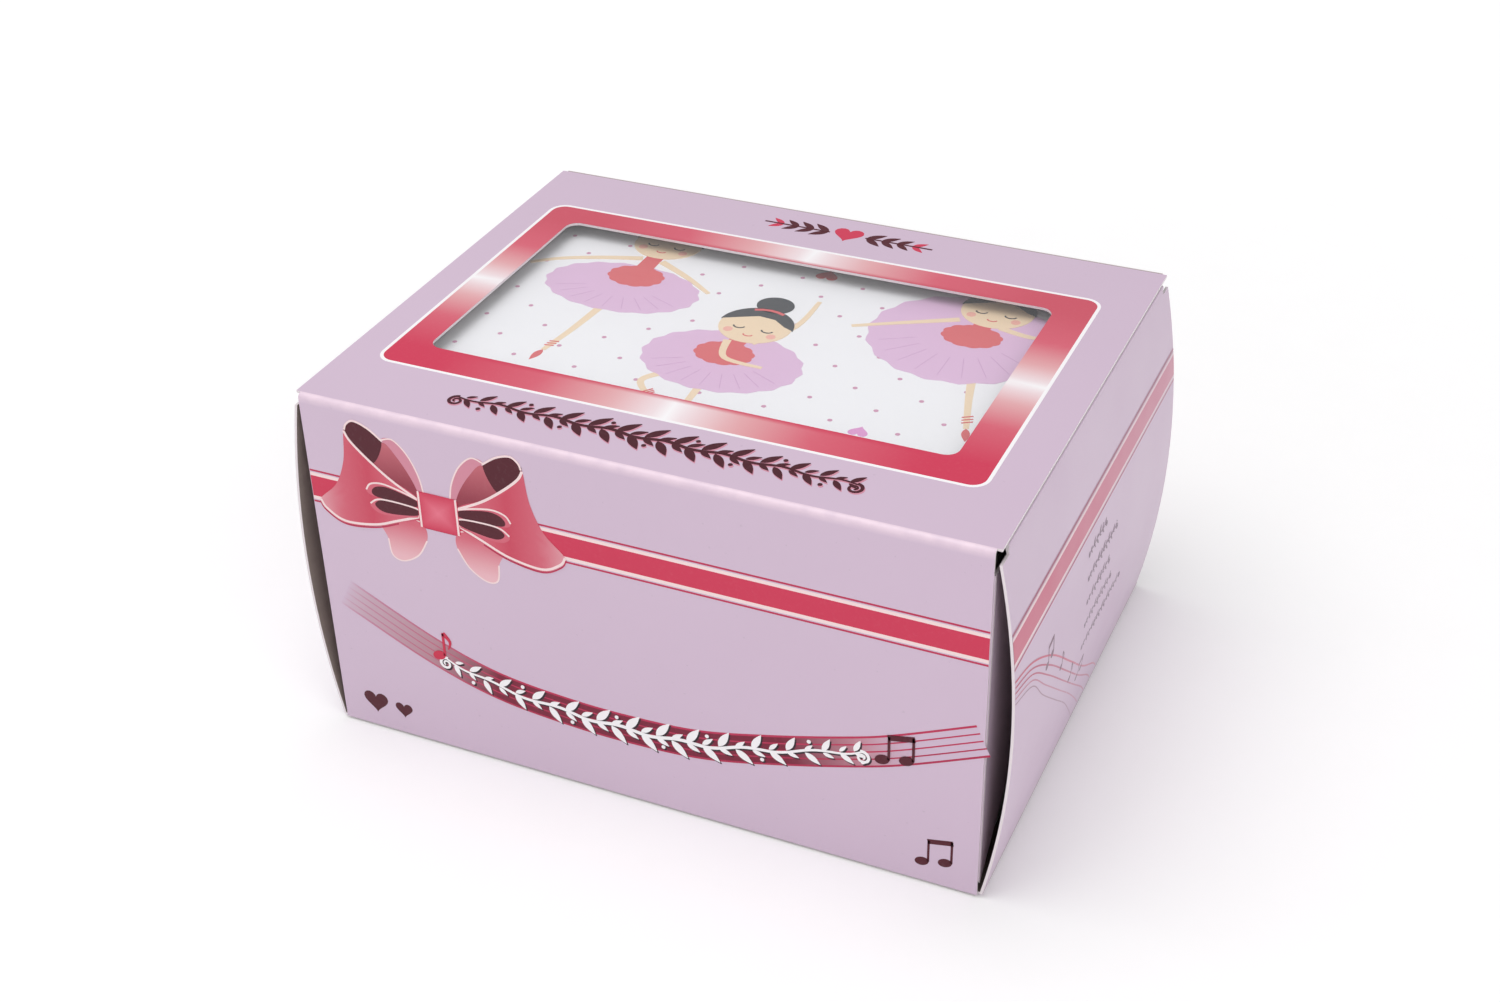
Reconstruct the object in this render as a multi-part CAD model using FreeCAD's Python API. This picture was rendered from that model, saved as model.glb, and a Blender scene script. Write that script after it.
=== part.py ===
import FreeCAD, Part
import math
import os

# Musical jewellery box with a dancing ballerina, standing in its folding window carton.
# Frame: millimetres, +X along the carton's long side, +Y towards its back, +Z up.
# The origin is the centre of the carton's underside.

os.makedirs("parts", exist_ok=True)
Vector = FreeCAD.Vector

# ---------------------------------------------------------------- driving dimensions
# carton
CARTON_L = 158.0            # along X
CARTON_D = 123.0            # along Y
CARTON_H = 88.0
BOARD = 0.6                 # folding boxboard
FOLD_R = 1.2                # outer radius of the top-front fold
WINDOW_L, WINDOW_D = 123.0, 67.5
WINDOW_CENTRE = (-1.5, 1.0)
WINDOW_R = 3.0
FILM = 0.2                  # clear window film
LEFT_BULGE, RIGHT_BULGE = 4.1, 4.7      # how far each end panel bows out
FLAP_REACH = 40.5           # dust flaps, from crease to free edge
TAB_H = 12.0                # tab turned up inside the front panel

# jewellery box
CASE_L, CASE_D = 150.0, 102.0
CASE_TOP = 70.0             # rim of the case, above the table
LID_H = 14.0
WALL = 2.5                  # greyboard walls
FEET_H = 1.0
DIVIDER = 2.0
DECK_HALF = 34.0            # half the width of the deck over the movement
DECK_TOP = 42.0
LID_GAP = 0.1

# music movement; every horizontal axis runs along Y at this height
AXIS_Z = 22.0
TRAIN_MODULE = 2.0 / 3.0    # barrel gear and drum pinion
FINE_MODULE = 0.5           # governor wheels
BARREL_TEETH, DRUM_PINION_TEETH = 36, 15
WHEEL_TEETH, PINION_TEETH = 30, 10
CROWN_TEETH, PIN_COUNT = 15, 18
PIN_WHEEL_R = 9.6           # circle of the spindle wheel's pins
DRUM_R = 6.5

# ballerina, measured up from the pivot at the top of her spring
PIVOT_Z = 56.0
TUTU_R = 12.0

# places of the movement's pieces along Y, as (front, rear)
FRONT_Y = (-23.4, -21.4)    # front bearing plate
CROWN_Y = (-19.0, -17.0)    # crown gear that turns the spindle
DRUM_Y = (-15.4, 12.1)
WHEEL_Y = (15.1, 16.6)      # drum wheel and the governor's pinion
PINION_Y = (18.1, 20.1)     # drum pinion and the barrel gear
BRIDGE_Y = (20.4, 21.8)
BARREL_Y = (20.9, 35.1)
GOVERNOR_Y = (22.6, 24.1)   # governor wheel and the fly's pinion
FLY_Y = (27.0, 34.6)        # fly blades
REAR_Y = (35.6, 37.6)       # rear bearing plate
RATCHET_Y = (38.0, 39.2)
BED_T = 2.0
COMB_Z = 21.6               # underside of the comb
COMB_T = 0.8
TINES, TINE_PITCH, TINE_W, FIRST_TINE_Y = 18, 1.42, 1.05, -14.6
PIN_OUT = 0.55              # how far the drum's pins stand out
PIN_TOTAL = 60
GOLDEN_TURN = 0.381966      # share of a turn from one drum pin to the next
PIVOT_R = 1.0
PIVOT_HOLE = 1.05           # bearing holes for the pivots
ARBOR_R = 1.6
ARBOR_HOLE = ARBOR_R + 0.08
PAD_T = 3.5                 # flocked pads in the wells
ROLL_W, ROLL_GAP, ROLLS = 10.2, 0.4, 5
KEY_REACH = 6.0             # winding arbor, out of the back of the case
STOP_WIRE = (-24.0, 33.0)   # place in X and Y
PIN_WHEEL_Z = (31.0, 32.6)
SPINDLE_R = 1.5

# ---------------------------------------------------------------- derived places
HALF_L, HALF_D = CARTON_L / 2, CARTON_D / 2
FRONT_IN = -HALF_D + BOARD              # inner face of the carton's front panel
BACK_IN = HALF_D - BOARD
CREASE_X = HALF_L - BOARD / 2           # bottom creases of the end panels
CREASE_R = BOARD / 2
FLAP_X = HALF_L - 2 * BOARD             # middle of the folded-in dust flaps
CASE_FRONT = FRONT_IN + 1.5
CASE_BACK = CASE_FRONT + CASE_D
CASE_MID = (CASE_FRONT + CASE_BACK) / 2
CASE_X = CASE_L / 2
FLOOR_TOP = BOARD + FEET_H + WALL
BED_TOP = FLOOR_TOP + BED_T
IN_FRONT, IN_BACK = CASE_FRONT + WALL, CASE_BACK - WALL
IN_X = CASE_X - WALL
DECK_T = 2.0
DECK_BOTTOM = DECK_TOP - DECK_T
LID_BOTTOM = CASE_TOP + LID_GAP
LID_TOP = LID_BOTTOM + LID_H
HINGE_Y, HINGE_Z = CASE_BACK + 1.3, CASE_TOP
BARREL_X = TRAIN_MODULE * (BARREL_TEETH + DRUM_PINION_TEETH) / 2
WHEEL_DISTANCE = FINE_MODULE * (WHEEL_TEETH + PINION_TEETH) / 2
G1_ANGLE, FLY_ANGLE = 150.0, 215.0      # directions of the governor's two steps
G1_X = WHEEL_DISTANCE * math.cos(math.radians(G1_ANGLE))
G1_Z = AXIS_Z + WHEEL_DISTANCE * math.sin(math.radians(G1_ANGLE))
FLY_X = G1_X + WHEEL_DISTANCE * math.cos(math.radians(FLY_ANGLE))
FLY_Z = G1_Z + WHEEL_DISTANCE * math.sin(math.radians(FLY_ANGLE))


# ---------------------------------------------------------------- helpers
def box(x0, x1, y0, y1, z0, z1):
    return Part.makeBox(x1 - x0, y1 - y0, z1 - z0, Vector(x0, y0, z0))


def rod(radius, start, end):
    start, end = Vector(*start), Vector(*end)
    return Part.makeCylinder(radius, (end - start).Length, start, end - start)


def rod_y(radius, x, z, y0, y1):
    return rod(radius, (x, y0, z), (x, y1, z))


def rod_z(radius, x, y, z0, z1):
    return rod(radius, (x, y, z0), (x, y, z1))


def plate(points, thickness, to_place):
    """A flat polygon of (a, b) points, extruded, with to_place(a, b, t) giving each corner in space."""
    corners = [to_place(a, b, 0.0) for a, b in points]
    face = Part.Face(Part.makePolygon(corners + corners[:1]))
    a, b = points[0]
    return face.extrude(to_place(a, b, thickness) - corners[0])


def mirror_x(shape):
    return shape.mirror(Vector(0, 0, 0), Vector(1, 0, 0))


def rounded_rect(length, width, radius, centre, z0, z1):
    cx, cy = centre
    solid = box(cx - length / 2, cx + length / 2, cy - width / 2, cy + width / 2, z0, z1)
    upright = [e for e in solid.Edges if abs(e.Vertexes[0].Z - e.Vertexes[-1].Z) > (z1 - z0) / 2]
    return solid.makeFillet(radius, upright)


def save(name, *solids):
    shape = solids[0] if len(solids) == 1 else Part.makeCompound(list(solids))
    for solid in shape.Solids:
        if not solid.isValid() or solid.Volume <= 0:
            print("bad solid in", name)
    shape.exportStep("parts/" + name + ".step")


def cut(shape, *tools):
    for tool in tools:
        shape = shape.cut(tool)
    return shape


def fuse(first, *others):
    return first.fuse(list(others)).removeSplitter()


def gear(teeth, module, y0, y1, x, z, tooth_at, bore):
    """A spur gear about a Y axis; one tooth's middle is at tooth_at, in degrees from +X to +Z."""
    pitch_r = teeth * module / 2
    tip_r, root_r = pitch_r + 0.8 * module, pitch_r - 1.15 * module
    base_r = pitch_r * math.cos(math.radians(20))

    def involute(r):
        a = math.acos(min(1.0, base_r / r))
        return math.tan(a) - a

    half_pitch_angle = math.pi / 2 / teeth * 0.86      # thinner than half the pitch, for backlash
    steps = [max(base_r, root_r) + (tip_r - max(base_r, root_r)) * k / 3 for k in range(4)]
    flank = [(r, half_pitch_angle + involute(pitch_r) - involute(r)) for r in steps]
    side = [(root_r, flank[0][1])] + flank
    points = []
    for k in range(teeth):
        middle = math.radians(tooth_at) + 2 * math.pi * k / teeth
        for r, half in side:
            points.append((r, middle - half))
        for r, half in reversed(side):
            points.append((r, middle + half))
    blank = plate([(r * math.cos(a), r * math.sin(a)) for r, a in points], y1 - y0,
                  lambda a, b, t: Vector(x + a, y0 + t, z + b))
    return blank.cut(rod_y(bore, x, z, y0 - 1, y1 + 1))


def rotated_x(shape, angle, centre):
    turned = shape.copy()
    turned.rotate(Vector(*centre), Vector(1, 0, 0), angle)
    return turned


# ---------------------------------------------------------------- carton
def carton_tray():
    front_edge = FRONT_IN + 0.3
    bottom = fuse(box(-CREASE_X, CREASE_X, front_edge, HALF_D, 0, BOARD),
                  rod_y(CREASE_R, CREASE_X, CREASE_R, front_edge, HALF_D),
                  rod_y(CREASE_R, -CREASE_X, CREASE_R, front_edge, HALF_D))
    save("carton_bottom_panel", bottom)
    save("carton_front_tab", box(-72, 72, FRONT_IN + 0.5, FRONT_IN + 0.5 + BOARD, BOARD, BOARD + TAB_H))
    back = fuse(box(-FLAP_X - 0.1, FLAP_X + 0.1, BACK_IN, HALF_D, BOARD, CARTON_H - CREASE_R),
                rod(CREASE_R, (-FLAP_X, HALF_D - CREASE_R, CARTON_H - CREASE_R),
                    (FLAP_X, HALF_D - CREASE_R, CARTON_H - CREASE_R)),
                rod_z(CREASE_R, FLAP_X, BACK_IN - 0.15, 4, CARTON_H - 6),
                rod_z(CREASE_R, -FLAP_X, BACK_IN - 0.15, 4, CARTON_H - 6))
    save("carton_back_panel", back)


def end_panel(bulge):
    """Bowed end panel on the right, creased at CREASE_X, its top rolled in under the top panel."""
    foot, top = 0.65, CARTON_H - 1.45
    middle = (foot + top) / 2

    def arc(offset):
        return Part.Arc(Vector(CREASE_X + offset, 0, foot), Vector(CREASE_X + bulge + offset, 0, middle),
                        Vector(CREASE_X + offset, 0, top)).toShape()

    outer, inner = arc(CREASE_R), arc(-CREASE_R)
    closing = [Part.makeLine(Vector(CREASE_X + CREASE_R, 0, z), Vector(CREASE_X - CREASE_R, 0, z))
               for z in (foot, top)]
    profile = Part.Face(Part.Wire(Part.__sortEdges__([outer, closing[1], inner, closing[0]])))
    profile.translate(Vector(0, -HALF_D + 0.3, 0))
    sheet = profile.extrude(Vector(0, CARTON_D - 0.6, 0))
    rim = rod_y(0.55, CREASE_X + 0.05, CARTON_H - 1.45, -57, 57)
    lip = box(CREASE_X - 3.3, CREASE_X, -13, 55, CARTON_H - 1.7, CARTON_H - 1.1)
    notches = [box(70, 90, y0, y0 + 6, CARTON_H - 3.2, CARTON_H) for y0 in (-63, 57)]
    return fuse(cut(sheet, *notches), rim, lip)


def dust_flap(side_y):
    """Folded-in flap on the right; it reaches towards the back (1) or the front (-1) from its crease."""
    hinge_y = side_y * (-BACK_IN + 0.15)
    top = CARTON_H - 6
    outline = [(0.35, 3.0), (FLAP_REACH, FLAP_REACH + 3), (FLAP_REACH, top - 6),
               (FLAP_REACH - 5, top), (0.35, top)]
    return plate(outline, BOARD,
                 lambda reach, z, t: Vector(FLAP_X - BOARD / 2 + t, hinge_y + side_y * reach, z))


def carton_ends():
    save("carton_right_end_panel", end_panel(RIGHT_BULGE))
    save("carton_left_end_panel", mirror_x(end_panel(LEFT_BULGE)))
    front, back = dust_flap(1), dust_flap(-1)
    save("dust_flap_right_front", front)
    save("dust_flap_left_front", mirror_x(front))
    save("dust_flap_right_back", back)
    save("dust_flap_left_back", mirror_x(back))


def carton_cover():
    fold_y, fold_z = -HALF_D + FOLD_R, CARTON_H - FOLD_R
    top = box(-HALF_L, HALF_L, fold_y, HALF_D - CREASE_R - 0.5, CARTON_H - BOARD, CARTON_H)
    hole = rounded_rect(WINDOW_L, WINDOW_D, WINDOW_R, WINDOW_CENTRE, CARTON_H - 5, CARTON_H + 5)
    save("carton_top_panel", top.cut(hole))
    ring = cut(rod(FOLD_R, (-FLAP_X - 0.1, fold_y, fold_z), (FLAP_X + 0.1, fold_y, fold_z)),
               rod(FOLD_R - BOARD, (-HALF_L, fold_y, fold_z), (HALF_L, fold_y, fold_z)))
    quarter = ring.common(box(-HALF_L, HALF_L, -HALF_D, fold_y, fold_z, CARTON_H))
    front = box(-FLAP_X - 0.1, FLAP_X + 0.1, -HALF_D, FRONT_IN, 0.3, fold_z)
    creases = [rod_z(CREASE_R, s * FLAP_X, FRONT_IN + 0.15, 4, CARTON_H - 6) for s in (-1, 1)]
    save("carton_front_panel", fuse(front, quarter, *creases))
    film = rounded_rect(WINDOW_L + 12, WINDOW_D + 12, WINDOW_R, WINDOW_CENTRE,
                        CARTON_H - BOARD - FILM, CARTON_H - BOARD)
    save("window_film", film)


# ---------------------------------------------------------------- jewellery box
def case():
    z0 = BOARD + FEET_H
    save("case_floor", box(-IN_X, IN_X, IN_FRONT, IN_BACK, z0, FLOOR_TOP))
    save("case_front_wall", box(-CASE_X, CASE_X, CASE_FRONT, IN_FRONT, z0, CASE_TOP))
    back = box(-CASE_X, CASE_X, IN_BACK, CASE_BACK, z0, CASE_TOP)
    save("case_back_wall", back.cut(rod_y(3.4, BARREL_X, AXIS_Z, IN_BACK - 1, CASE_BACK + 1)))
    right = box(IN_X, CASE_X, IN_FRONT, IN_BACK, z0, CASE_TOP)
    save("case_right_wall", right)
    save("case_left_wall", mirror_x(right))
    inset = 9.0
    foot = [rod_z(5, sx * (CASE_X - inset), CASE_MID + sy * (CASE_D / 2 - inset), BOARD, z0)
            for sx in (-1, 1) for sy in (-1, 1)]
    save("felt_feet", *foot)
    divider = box(DECK_HALF - DIVIDER, DECK_HALF, IN_FRONT, IN_BACK, FLOOR_TOP, DECK_BOTTOM)
    save("well_dividers", divider, mirror_x(divider))
    deck = box(-DECK_HALF, DECK_HALF, IN_FRONT, IN_BACK, DECK_BOTTOM, DECK_TOP)
    save("deck", cut(deck, rod_z(3.0, 0, CASE_MID, DECK_BOTTOM - 1, DECK_TOP + 1),
                     rod_z(1.2, *STOP_WIRE, DECK_BOTTOM - 1, DECK_TOP + 1)))


def case_fittings():
    left_pad = box(-IN_X + 0.3, -DECK_HALF - 0.3, IN_FRONT + 0.3, IN_BACK - 0.3,
                   FLOOR_TOP, FLOOR_TOP + PAD_T)
    rolls_front = IN_FRONT + 0.3
    rolls = []
    crown = DECK_BOTTOM - 1 - ROLL_W / 2
    for k in range(ROLLS):
        y0 = rolls_front + k * (ROLL_W + ROLL_GAP)
        block = box(DECK_HALF + 0.3, IN_X - 0.3, y0, y0 + ROLL_W, FLOOR_TOP, crown)
        middle = y0 + ROLL_W / 2
        top = rod(ROLL_W / 2, (DECK_HALF + 0.3, middle, crown), (IN_X - 0.3, middle, crown))
        rolls.append(fuse(block, top))
    save("ring_rolls", *rolls)
    stop = rolls_front + ROLLS * (ROLL_W + ROLL_GAP)
    save("ring_roll_divider", box(DECK_HALF, IN_X, stop, stop + DIVIDER, FLOOR_TOP, DECK_BOTTOM))
    right_pad = box(DECK_HALF + 0.3, IN_X - 0.3, stop + DIVIDER + 0.3, IN_BACK - 0.3,
                    FLOOR_TOP, FLOOR_TOP + PAD_T)
    save("well_pads", left_pad, right_pad)


def lid():
    under_top = LID_TOP - WALL
    save("lid_top_board", box(-CASE_X, CASE_X, CASE_FRONT, CASE_BACK, under_top, LID_TOP))
    ends = [box(-CASE_X, CASE_X, y, y + WALL, LID_BOTTOM, under_top) for y in (CASE_FRONT, IN_BACK)]
    side = box(IN_X, CASE_X, IN_FRONT, IN_BACK, LID_BOTTOM, under_top)
    save("lid_rim_boards", side, mirror_x(side), *ends)
    lining_bottom = under_top - 1.2
    save("lid_lining", box(-IN_X, IN_X, IN_FRONT, IN_BACK, lining_bottom, under_top))
    save("mirror", rounded_rect(92, 62, 4, (0, CASE_MID), lining_bottom - 1.5, lining_bottom))


def hinges():
    leaf_t, knuckle_r, pin_r, half = 0.6, 1.3, 0.6, 8.0
    body_leaves, lid_leaves, pins = [], [], []
    for x in (-45.0, 45.0):
        bore = rod(pin_r + 0.05, (x - half - 1, HINGE_Y, HINGE_Z), (x + half + 1, HINGE_Y, HINGE_Z))
        middle = rod(knuckle_r, (x - 3, HINGE_Y, HINGE_Z), (x + 3, HINGE_Y, HINGE_Z))
        plate_low = box(x - half, x + half, CASE_BACK, CASE_BACK + leaf_t, HINGE_Z - 12, HINGE_Z - 1.6)
        neck_low = box(x - 3, x + 3, CASE_BACK, CASE_BACK + leaf_t, HINGE_Z - 2, HINGE_Z)
        body_leaves.append(cut(fuse(plate_low, neck_low, middle), bore))
        knuckles, necks = [], []
        for x0, x1 in ((x - half, x - 3.2), (x + 3.2, x + half)):
            knuckles.append(rod(knuckle_r, (x0, HINGE_Y, HINGE_Z), (x1, HINGE_Y, HINGE_Z)))
            necks.append(box(x0, x1, CASE_BACK, CASE_BACK + leaf_t, HINGE_Z, HINGE_Z + 2.2))
        plate_high = box(x - half, x + half, CASE_BACK, CASE_BACK + leaf_t, HINGE_Z + 1.8, HINGE_Z + 11)
        lid_leaves.append(cut(fuse(plate_high, *knuckles, *necks), bore))
        pins.append(rod(pin_r, (x - half, HINGE_Y, HINGE_Z), (x + half, HINGE_Y, HINGE_Z)))
    save("hinge_case_leaves", *body_leaves)
    save("hinge_lid_leaves", *lid_leaves)
    save("hinge_pins", *pins)


# ---------------------------------------------------------------- music movement
def frame_of_movement():
    bed = box(-28, 31, FRONT_Y[0], REAR_Y[1], FLOOR_TOP, BED_TOP)
    comb_seat = box(-26, -16, -15.5, 12.0, BED_TOP, COMB_Z)
    save("movement_bedplate", fuse(bed, comb_seat))
    front = box(-5, 5, FRONT_Y[0], FRONT_Y[1], BED_TOP, AXIS_Z + 4)
    save("front_bearing_plate", front.cut(rod_y(PIVOT_HOLE, 0, AXIS_Z, -30, 0)))
    rear = box(-26, 30, REAR_Y[0], REAR_Y[1], BED_TOP, 36)
    pivots = [rod_y(PIVOT_HOLE, x, z, 30, 40) for x, z in ((0, AXIS_Z), (G1_X, G1_Z), (FLY_X, FLY_Z))]
    save("rear_bearing_plate", cut(rear, *pivots, rod_y(ARBOR_HOLE, BARREL_X, AXIS_Z, 30, 40)))
    bridge = box(-22, -4, BRIDGE_Y[0], BRIDGE_Y[1], BED_TOP, 31)
    holes = [rod_y(PIVOT_HOLE, x, z, 18, 24) for x, z in ((G1_X, G1_Z), (FLY_X, FLY_Z))]
    save("governor_bridge", cut(bridge, *holes))


def comb():
    tip_x = -DRUM_R - PIN_OUT - 0.3
    back = box(-26, -17, -15.5, 12.0, COMB_Z, COMB_Z + COMB_T)
    reeds = []
    for k in range(TINES):
        y = FIRST_TINE_Y + k * TINE_PITCH
        reeds.append(box(-17.2, tip_x, y, y + TINE_W, COMB_Z, COMB_Z + COMB_T))
    save("comb", fuse(back, *reeds))
    screws = []
    for y in (-10.0, 6.5):
        head = rod_z(2.0, -22, y, COMB_Z + COMB_T, COMB_Z + COMB_T + 1.4)
        screws.append(head.cut(box(-25, -19, y - 0.3, y + 0.3, COMB_Z + 1.5, COMB_Z + 3)))
    save("comb_screws", *screws)


def drum():
    arbor = rod_y(PIVOT_R, 0, AXIS_Z, FRONT_Y[0], REAR_Y[1])
    save("drum_arbor", arbor)
    shell = cut(rod_y(DRUM_R, 0, AXIS_Z, *DRUM_Y),
                rod_y(DRUM_R - 0.8, 0, AXIS_Z, DRUM_Y[0] + 1.2, DRUM_Y[1] - 1.2),
                rod_y(PIVOT_R, 0, AXIS_Z, DRUM_Y[0] - 1, DRUM_Y[1] + 1))
    pins = []
    rooted = 0.3
    for k in range(PIN_TOTAL):
        angle = math.radians(360 * ((k * GOLDEN_TURN) % 1.0))
        y = FIRST_TINE_Y + TINE_W / 2 + TINE_PITCH * ((k * 7) % TINES)
        out = Vector(math.cos(angle), 0, math.sin(angle))
        root = Vector(0, y, AXIS_Z) + out * (DRUM_R - rooted)
        pins.append(Part.makeCylinder(0.25, PIN_OUT + rooted, root, out))
    save("pinned_drum", shell.fuse(pins))
    save("drum_wheel", gear(WHEEL_TEETH, FINE_MODULE, *WHEEL_Y, 0, AXIS_Z, G1_ANGLE, PIVOT_R))
    save("drum_pinion", gear(DRUM_PINION_TEETH, TRAIN_MODULE, *PINION_Y, 0, AXIS_Z, 0.0, PIVOT_R))
    crown = rod_y(6.2, 0, AXIS_Z, *CROWN_Y)
    teeth = []
    for k in range(CROWN_TEETH):
        tooth = box(-0.45, 0.45, CROWN_Y[0], CROWN_Y[1], AXIS_Z + 6.0, AXIS_Z + 8.2)
        tooth.rotate(Vector(0, 0, AXIS_Z), Vector(0, 1, 0), 360.0 * (k + 0.5) / CROWN_TEETH)
        teeth.append(tooth)
    save("drum_crown_gear", cut(fuse(crown, *teeth), rod_y(PIVOT_R, 0, AXIS_Z, -30, 0)))


def barrel():
    shell = cut(rod_y(10.4, BARREL_X, AXIS_Z, *BARREL_Y),
                rod_y(9.6, BARREL_X, AXIS_Z, BARREL_Y[0] + 0.8, BARREL_Y[1] - 0.8),
                rod_y(ARBOR_HOLE, BARREL_X, AXIS_Z, 10, 50))
    save("spring_barrel", shell)
    # the gap between two teeth faces the drum
    gap_at = 180.0 + 180.0 / BARREL_TEETH
    ring = gear(BARREL_TEETH, TRAIN_MODULE, *PINION_Y, BARREL_X, AXIS_Z, gap_at, ARBOR_HOLE)
    hub = cut(rod_y(5, BARREL_X, AXIS_Z, PINION_Y[1], BARREL_Y[0]),
              rod_y(ARBOR_HOLE, BARREL_X, AXIS_Z, 10, 50))
    save("barrel_gear", fuse(ring, hub))
    turns, inner_r, outer_r, strip, per_turn = 7, 2.4, 9.4, 0.3, 24
    spiral = []
    for k in range(turns * per_turn + 1):
        share = k / (turns * per_turn)
        spiral.append((inner_r + (outer_r - strip - inner_r) * share, 2 * math.pi * turns * share))
    edge = [(r * math.cos(a), r * math.sin(a)) for r, a in spiral]
    back = [((r + strip) * math.cos(a), (r + strip) * math.sin(a)) for r, a in reversed(spiral)]
    save("mainspring", plate(edge + back, 11.0, lambda a, b, t: Vector(BARREL_X + a, 22.4 + t, AXIS_Z + b)))


def winding():
    save("winding_arbor", rod_y(ARBOR_R, BARREL_X, AXIS_Z, PINION_Y[0], CASE_BACK + KEY_REACH))
    save("ratchet_wheel", ratchet_wheel())
    click_arm = box(BARREL_X - 9, BARREL_X - 8.2, REAR_Y[1], RATCHET_Y[1], AXIS_Z - 4, AXIS_Z + 10)
    click_tip = box(BARREL_X - 8.4, BARREL_X - 6.6, REAR_Y[1] + 0.2, RATCHET_Y[1], AXIS_Z + 2.4, AXIS_Z + 3.2)
    save("click_spring", fuse(click_arm, click_tip))
    y0 = CASE_BACK + 1.0
    collar = cut(rod_y(3.0, BARREL_X, AXIS_Z, y0, y0 + 6),
                 rod_y(ARBOR_R, BARREL_X, AXIS_Z, y0 - 1, CASE_BACK + KEY_REACH))
    wing_points = [(2.0, -2.2), (6.0, -4.6), (10.5, -4.2), (12.0, 0.0), (10.5, 4.2), (6.0, 4.6), (2.0, 2.2)]
    outline = wing_points + [(-a, -b) for a, b in wing_points]
    bow = plate(outline, 2.0, lambda a, b, t: Vector(BARREL_X + a, y0 + 9 + b * 0.8, AXIS_Z - 1 + t))
    stem = box(BARREL_X - 2.4, BARREL_X + 2.4, y0 + 5, y0 + 8, AXIS_Z - 1, AXIS_Z + 1)
    save("winding_key", fuse(collar, stem, bow))


def ratchet_wheel():
    teeth, tip_r, root_r = 16, 5.6, 4.8
    points = []
    for k in range(teeth):
        a = 2 * math.pi * k / teeth
        points.append((tip_r * math.cos(a), tip_r * math.sin(a)))
        b = a + 2 * math.pi / teeth * 0.05
        points.append((root_r * math.cos(b), root_r * math.sin(b)))
    blank = plate(points, RATCHET_Y[1] - RATCHET_Y[0],
                  lambda a, b, t: Vector(BARREL_X + a, RATCHET_Y[0] + t, AXIS_Z + b))
    return blank.cut(rod_y(ARBOR_R, BARREL_X, AXIS_Z, 30, 45))


def governor():
    facing = 180.0 + 180.0 / PINION_TEETH       # a pinion's gap, turned to the wheel that drives it
    arbor = rod_y(PIVOT_R, G1_X, G1_Z, WHEEL_Y[0] - 0.6, REAR_Y[1])
    pinion = gear(PINION_TEETH, FINE_MODULE, *WHEEL_Y, G1_X, G1_Z, G1_ANGLE + facing, PIVOT_R)
    wheel = gear(WHEEL_TEETH, FINE_MODULE, *GOVERNOR_Y, G1_X, G1_Z, FLY_ANGLE, PIVOT_R)
    save("governor_arbor", fuse(arbor, pinion))
    save("governor_wheel", wheel)
    fly_arbor = rod_y(PIVOT_R, FLY_X, FLY_Z, BRIDGE_Y[0], REAR_Y[1])
    fly_pinion = gear(PINION_TEETH, FINE_MODULE, *GOVERNOR_Y, FLY_X, FLY_Z, FLY_ANGLE + facing, PIVOT_R)
    blade = box(FLY_X - 5.6, FLY_X + 5.6, *FLY_Y, FLY_Z - 0.3, FLY_Z + 0.3)
    hub = rod_y(1.9, FLY_X, FLY_Z, FLY_Y[0] - 0.4, FLY_Y[1] + 0.4)
    save("fly_arbor", fuse(fly_arbor, fly_pinion))
    save("fly_blades", cut(fuse(blade, hub), rod_y(PIVOT_R, FLY_X, FLY_Z, 20, 40)))


def stop_wire():
    x, y = STOP_WIRE
    upright = rod_z(0.7, x, y, 12, LID_TOP - WALL - 1.3)
    foot = rod(0.6, (x, y, 13), (x + 2.2, y, 13))
    save("stop_wire", fuse(upright, foot))


# ---------------------------------------------------------------- spindle and ballerina
def spindle():
    save("spindle_bushing", cut(fuse(rod_z(2.95, 0, CASE_MID, DECK_BOTTOM - 2, DECK_TOP),
                                     rod_z(5.0, 0, CASE_MID, DECK_TOP, DECK_TOP + 1)),
                                rod_z(SPINDLE_R + 0.05, 0, CASE_MID, 30, 50)))
    save("spindle_shaft", rod_z(SPINDLE_R, 0, CASE_MID, PIN_WHEEL_Z[0], DECK_TOP + 4))
    wheel = cut(rod_z(PIN_WHEEL_R + 1, 0, CASE_MID, *PIN_WHEEL_Z), rod_z(SPINDLE_R, 0, CASE_MID, 30, 40))
    pins = []
    for k in range(PIN_COUNT):
        a = math.radians(-90 + 360.0 * k / PIN_COUNT)
        px, py = PIN_WHEEL_R * math.cos(a), CASE_MID + PIN_WHEEL_R * math.sin(a)
        pins.append(rod_z(0.5, px, py, PIN_WHEEL_Z[0] - 1.5, PIN_WHEEL_Z[0] + 0.4))
    save("spindle_pin_wheel", wheel.fuse(pins))
    cup = cut(rod_z(4.0, 0, CASE_MID, DECK_TOP + 1.4, DECK_TOP + 5.5),
              rod_z(SPINDLE_R, 0, CASE_MID, DECK_TOP, DECK_TOP + 4),
              rod_z(3.0, 0, CASE_MID, DECK_TOP + 4.2, DECK_TOP + 6))
    save("spindle_cup", cup)
    coil_r, wire_r, z0, z1 = 2.2, 0.35, DECK_TOP + 4.6, PIVOT_Z - 2.0
    turns = 7
    helix = Part.makeHelix((z1 - z0) / turns, z1 - z0, coil_r)
    helix.translate(Vector(0, CASE_MID, z0))
    profile = Part.Wire(Part.makeCircle(wire_r, Vector(coil_r, CASE_MID, z0), Vector(0, 1, 0)))
    coil = Part.Wire(helix.Edges).makePipeShell([profile], True, True)
    save("dancer_spring", coil, Part.makeSphere(1.6, Vector(0, CASE_MID, PIVOT_Z)))


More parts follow.
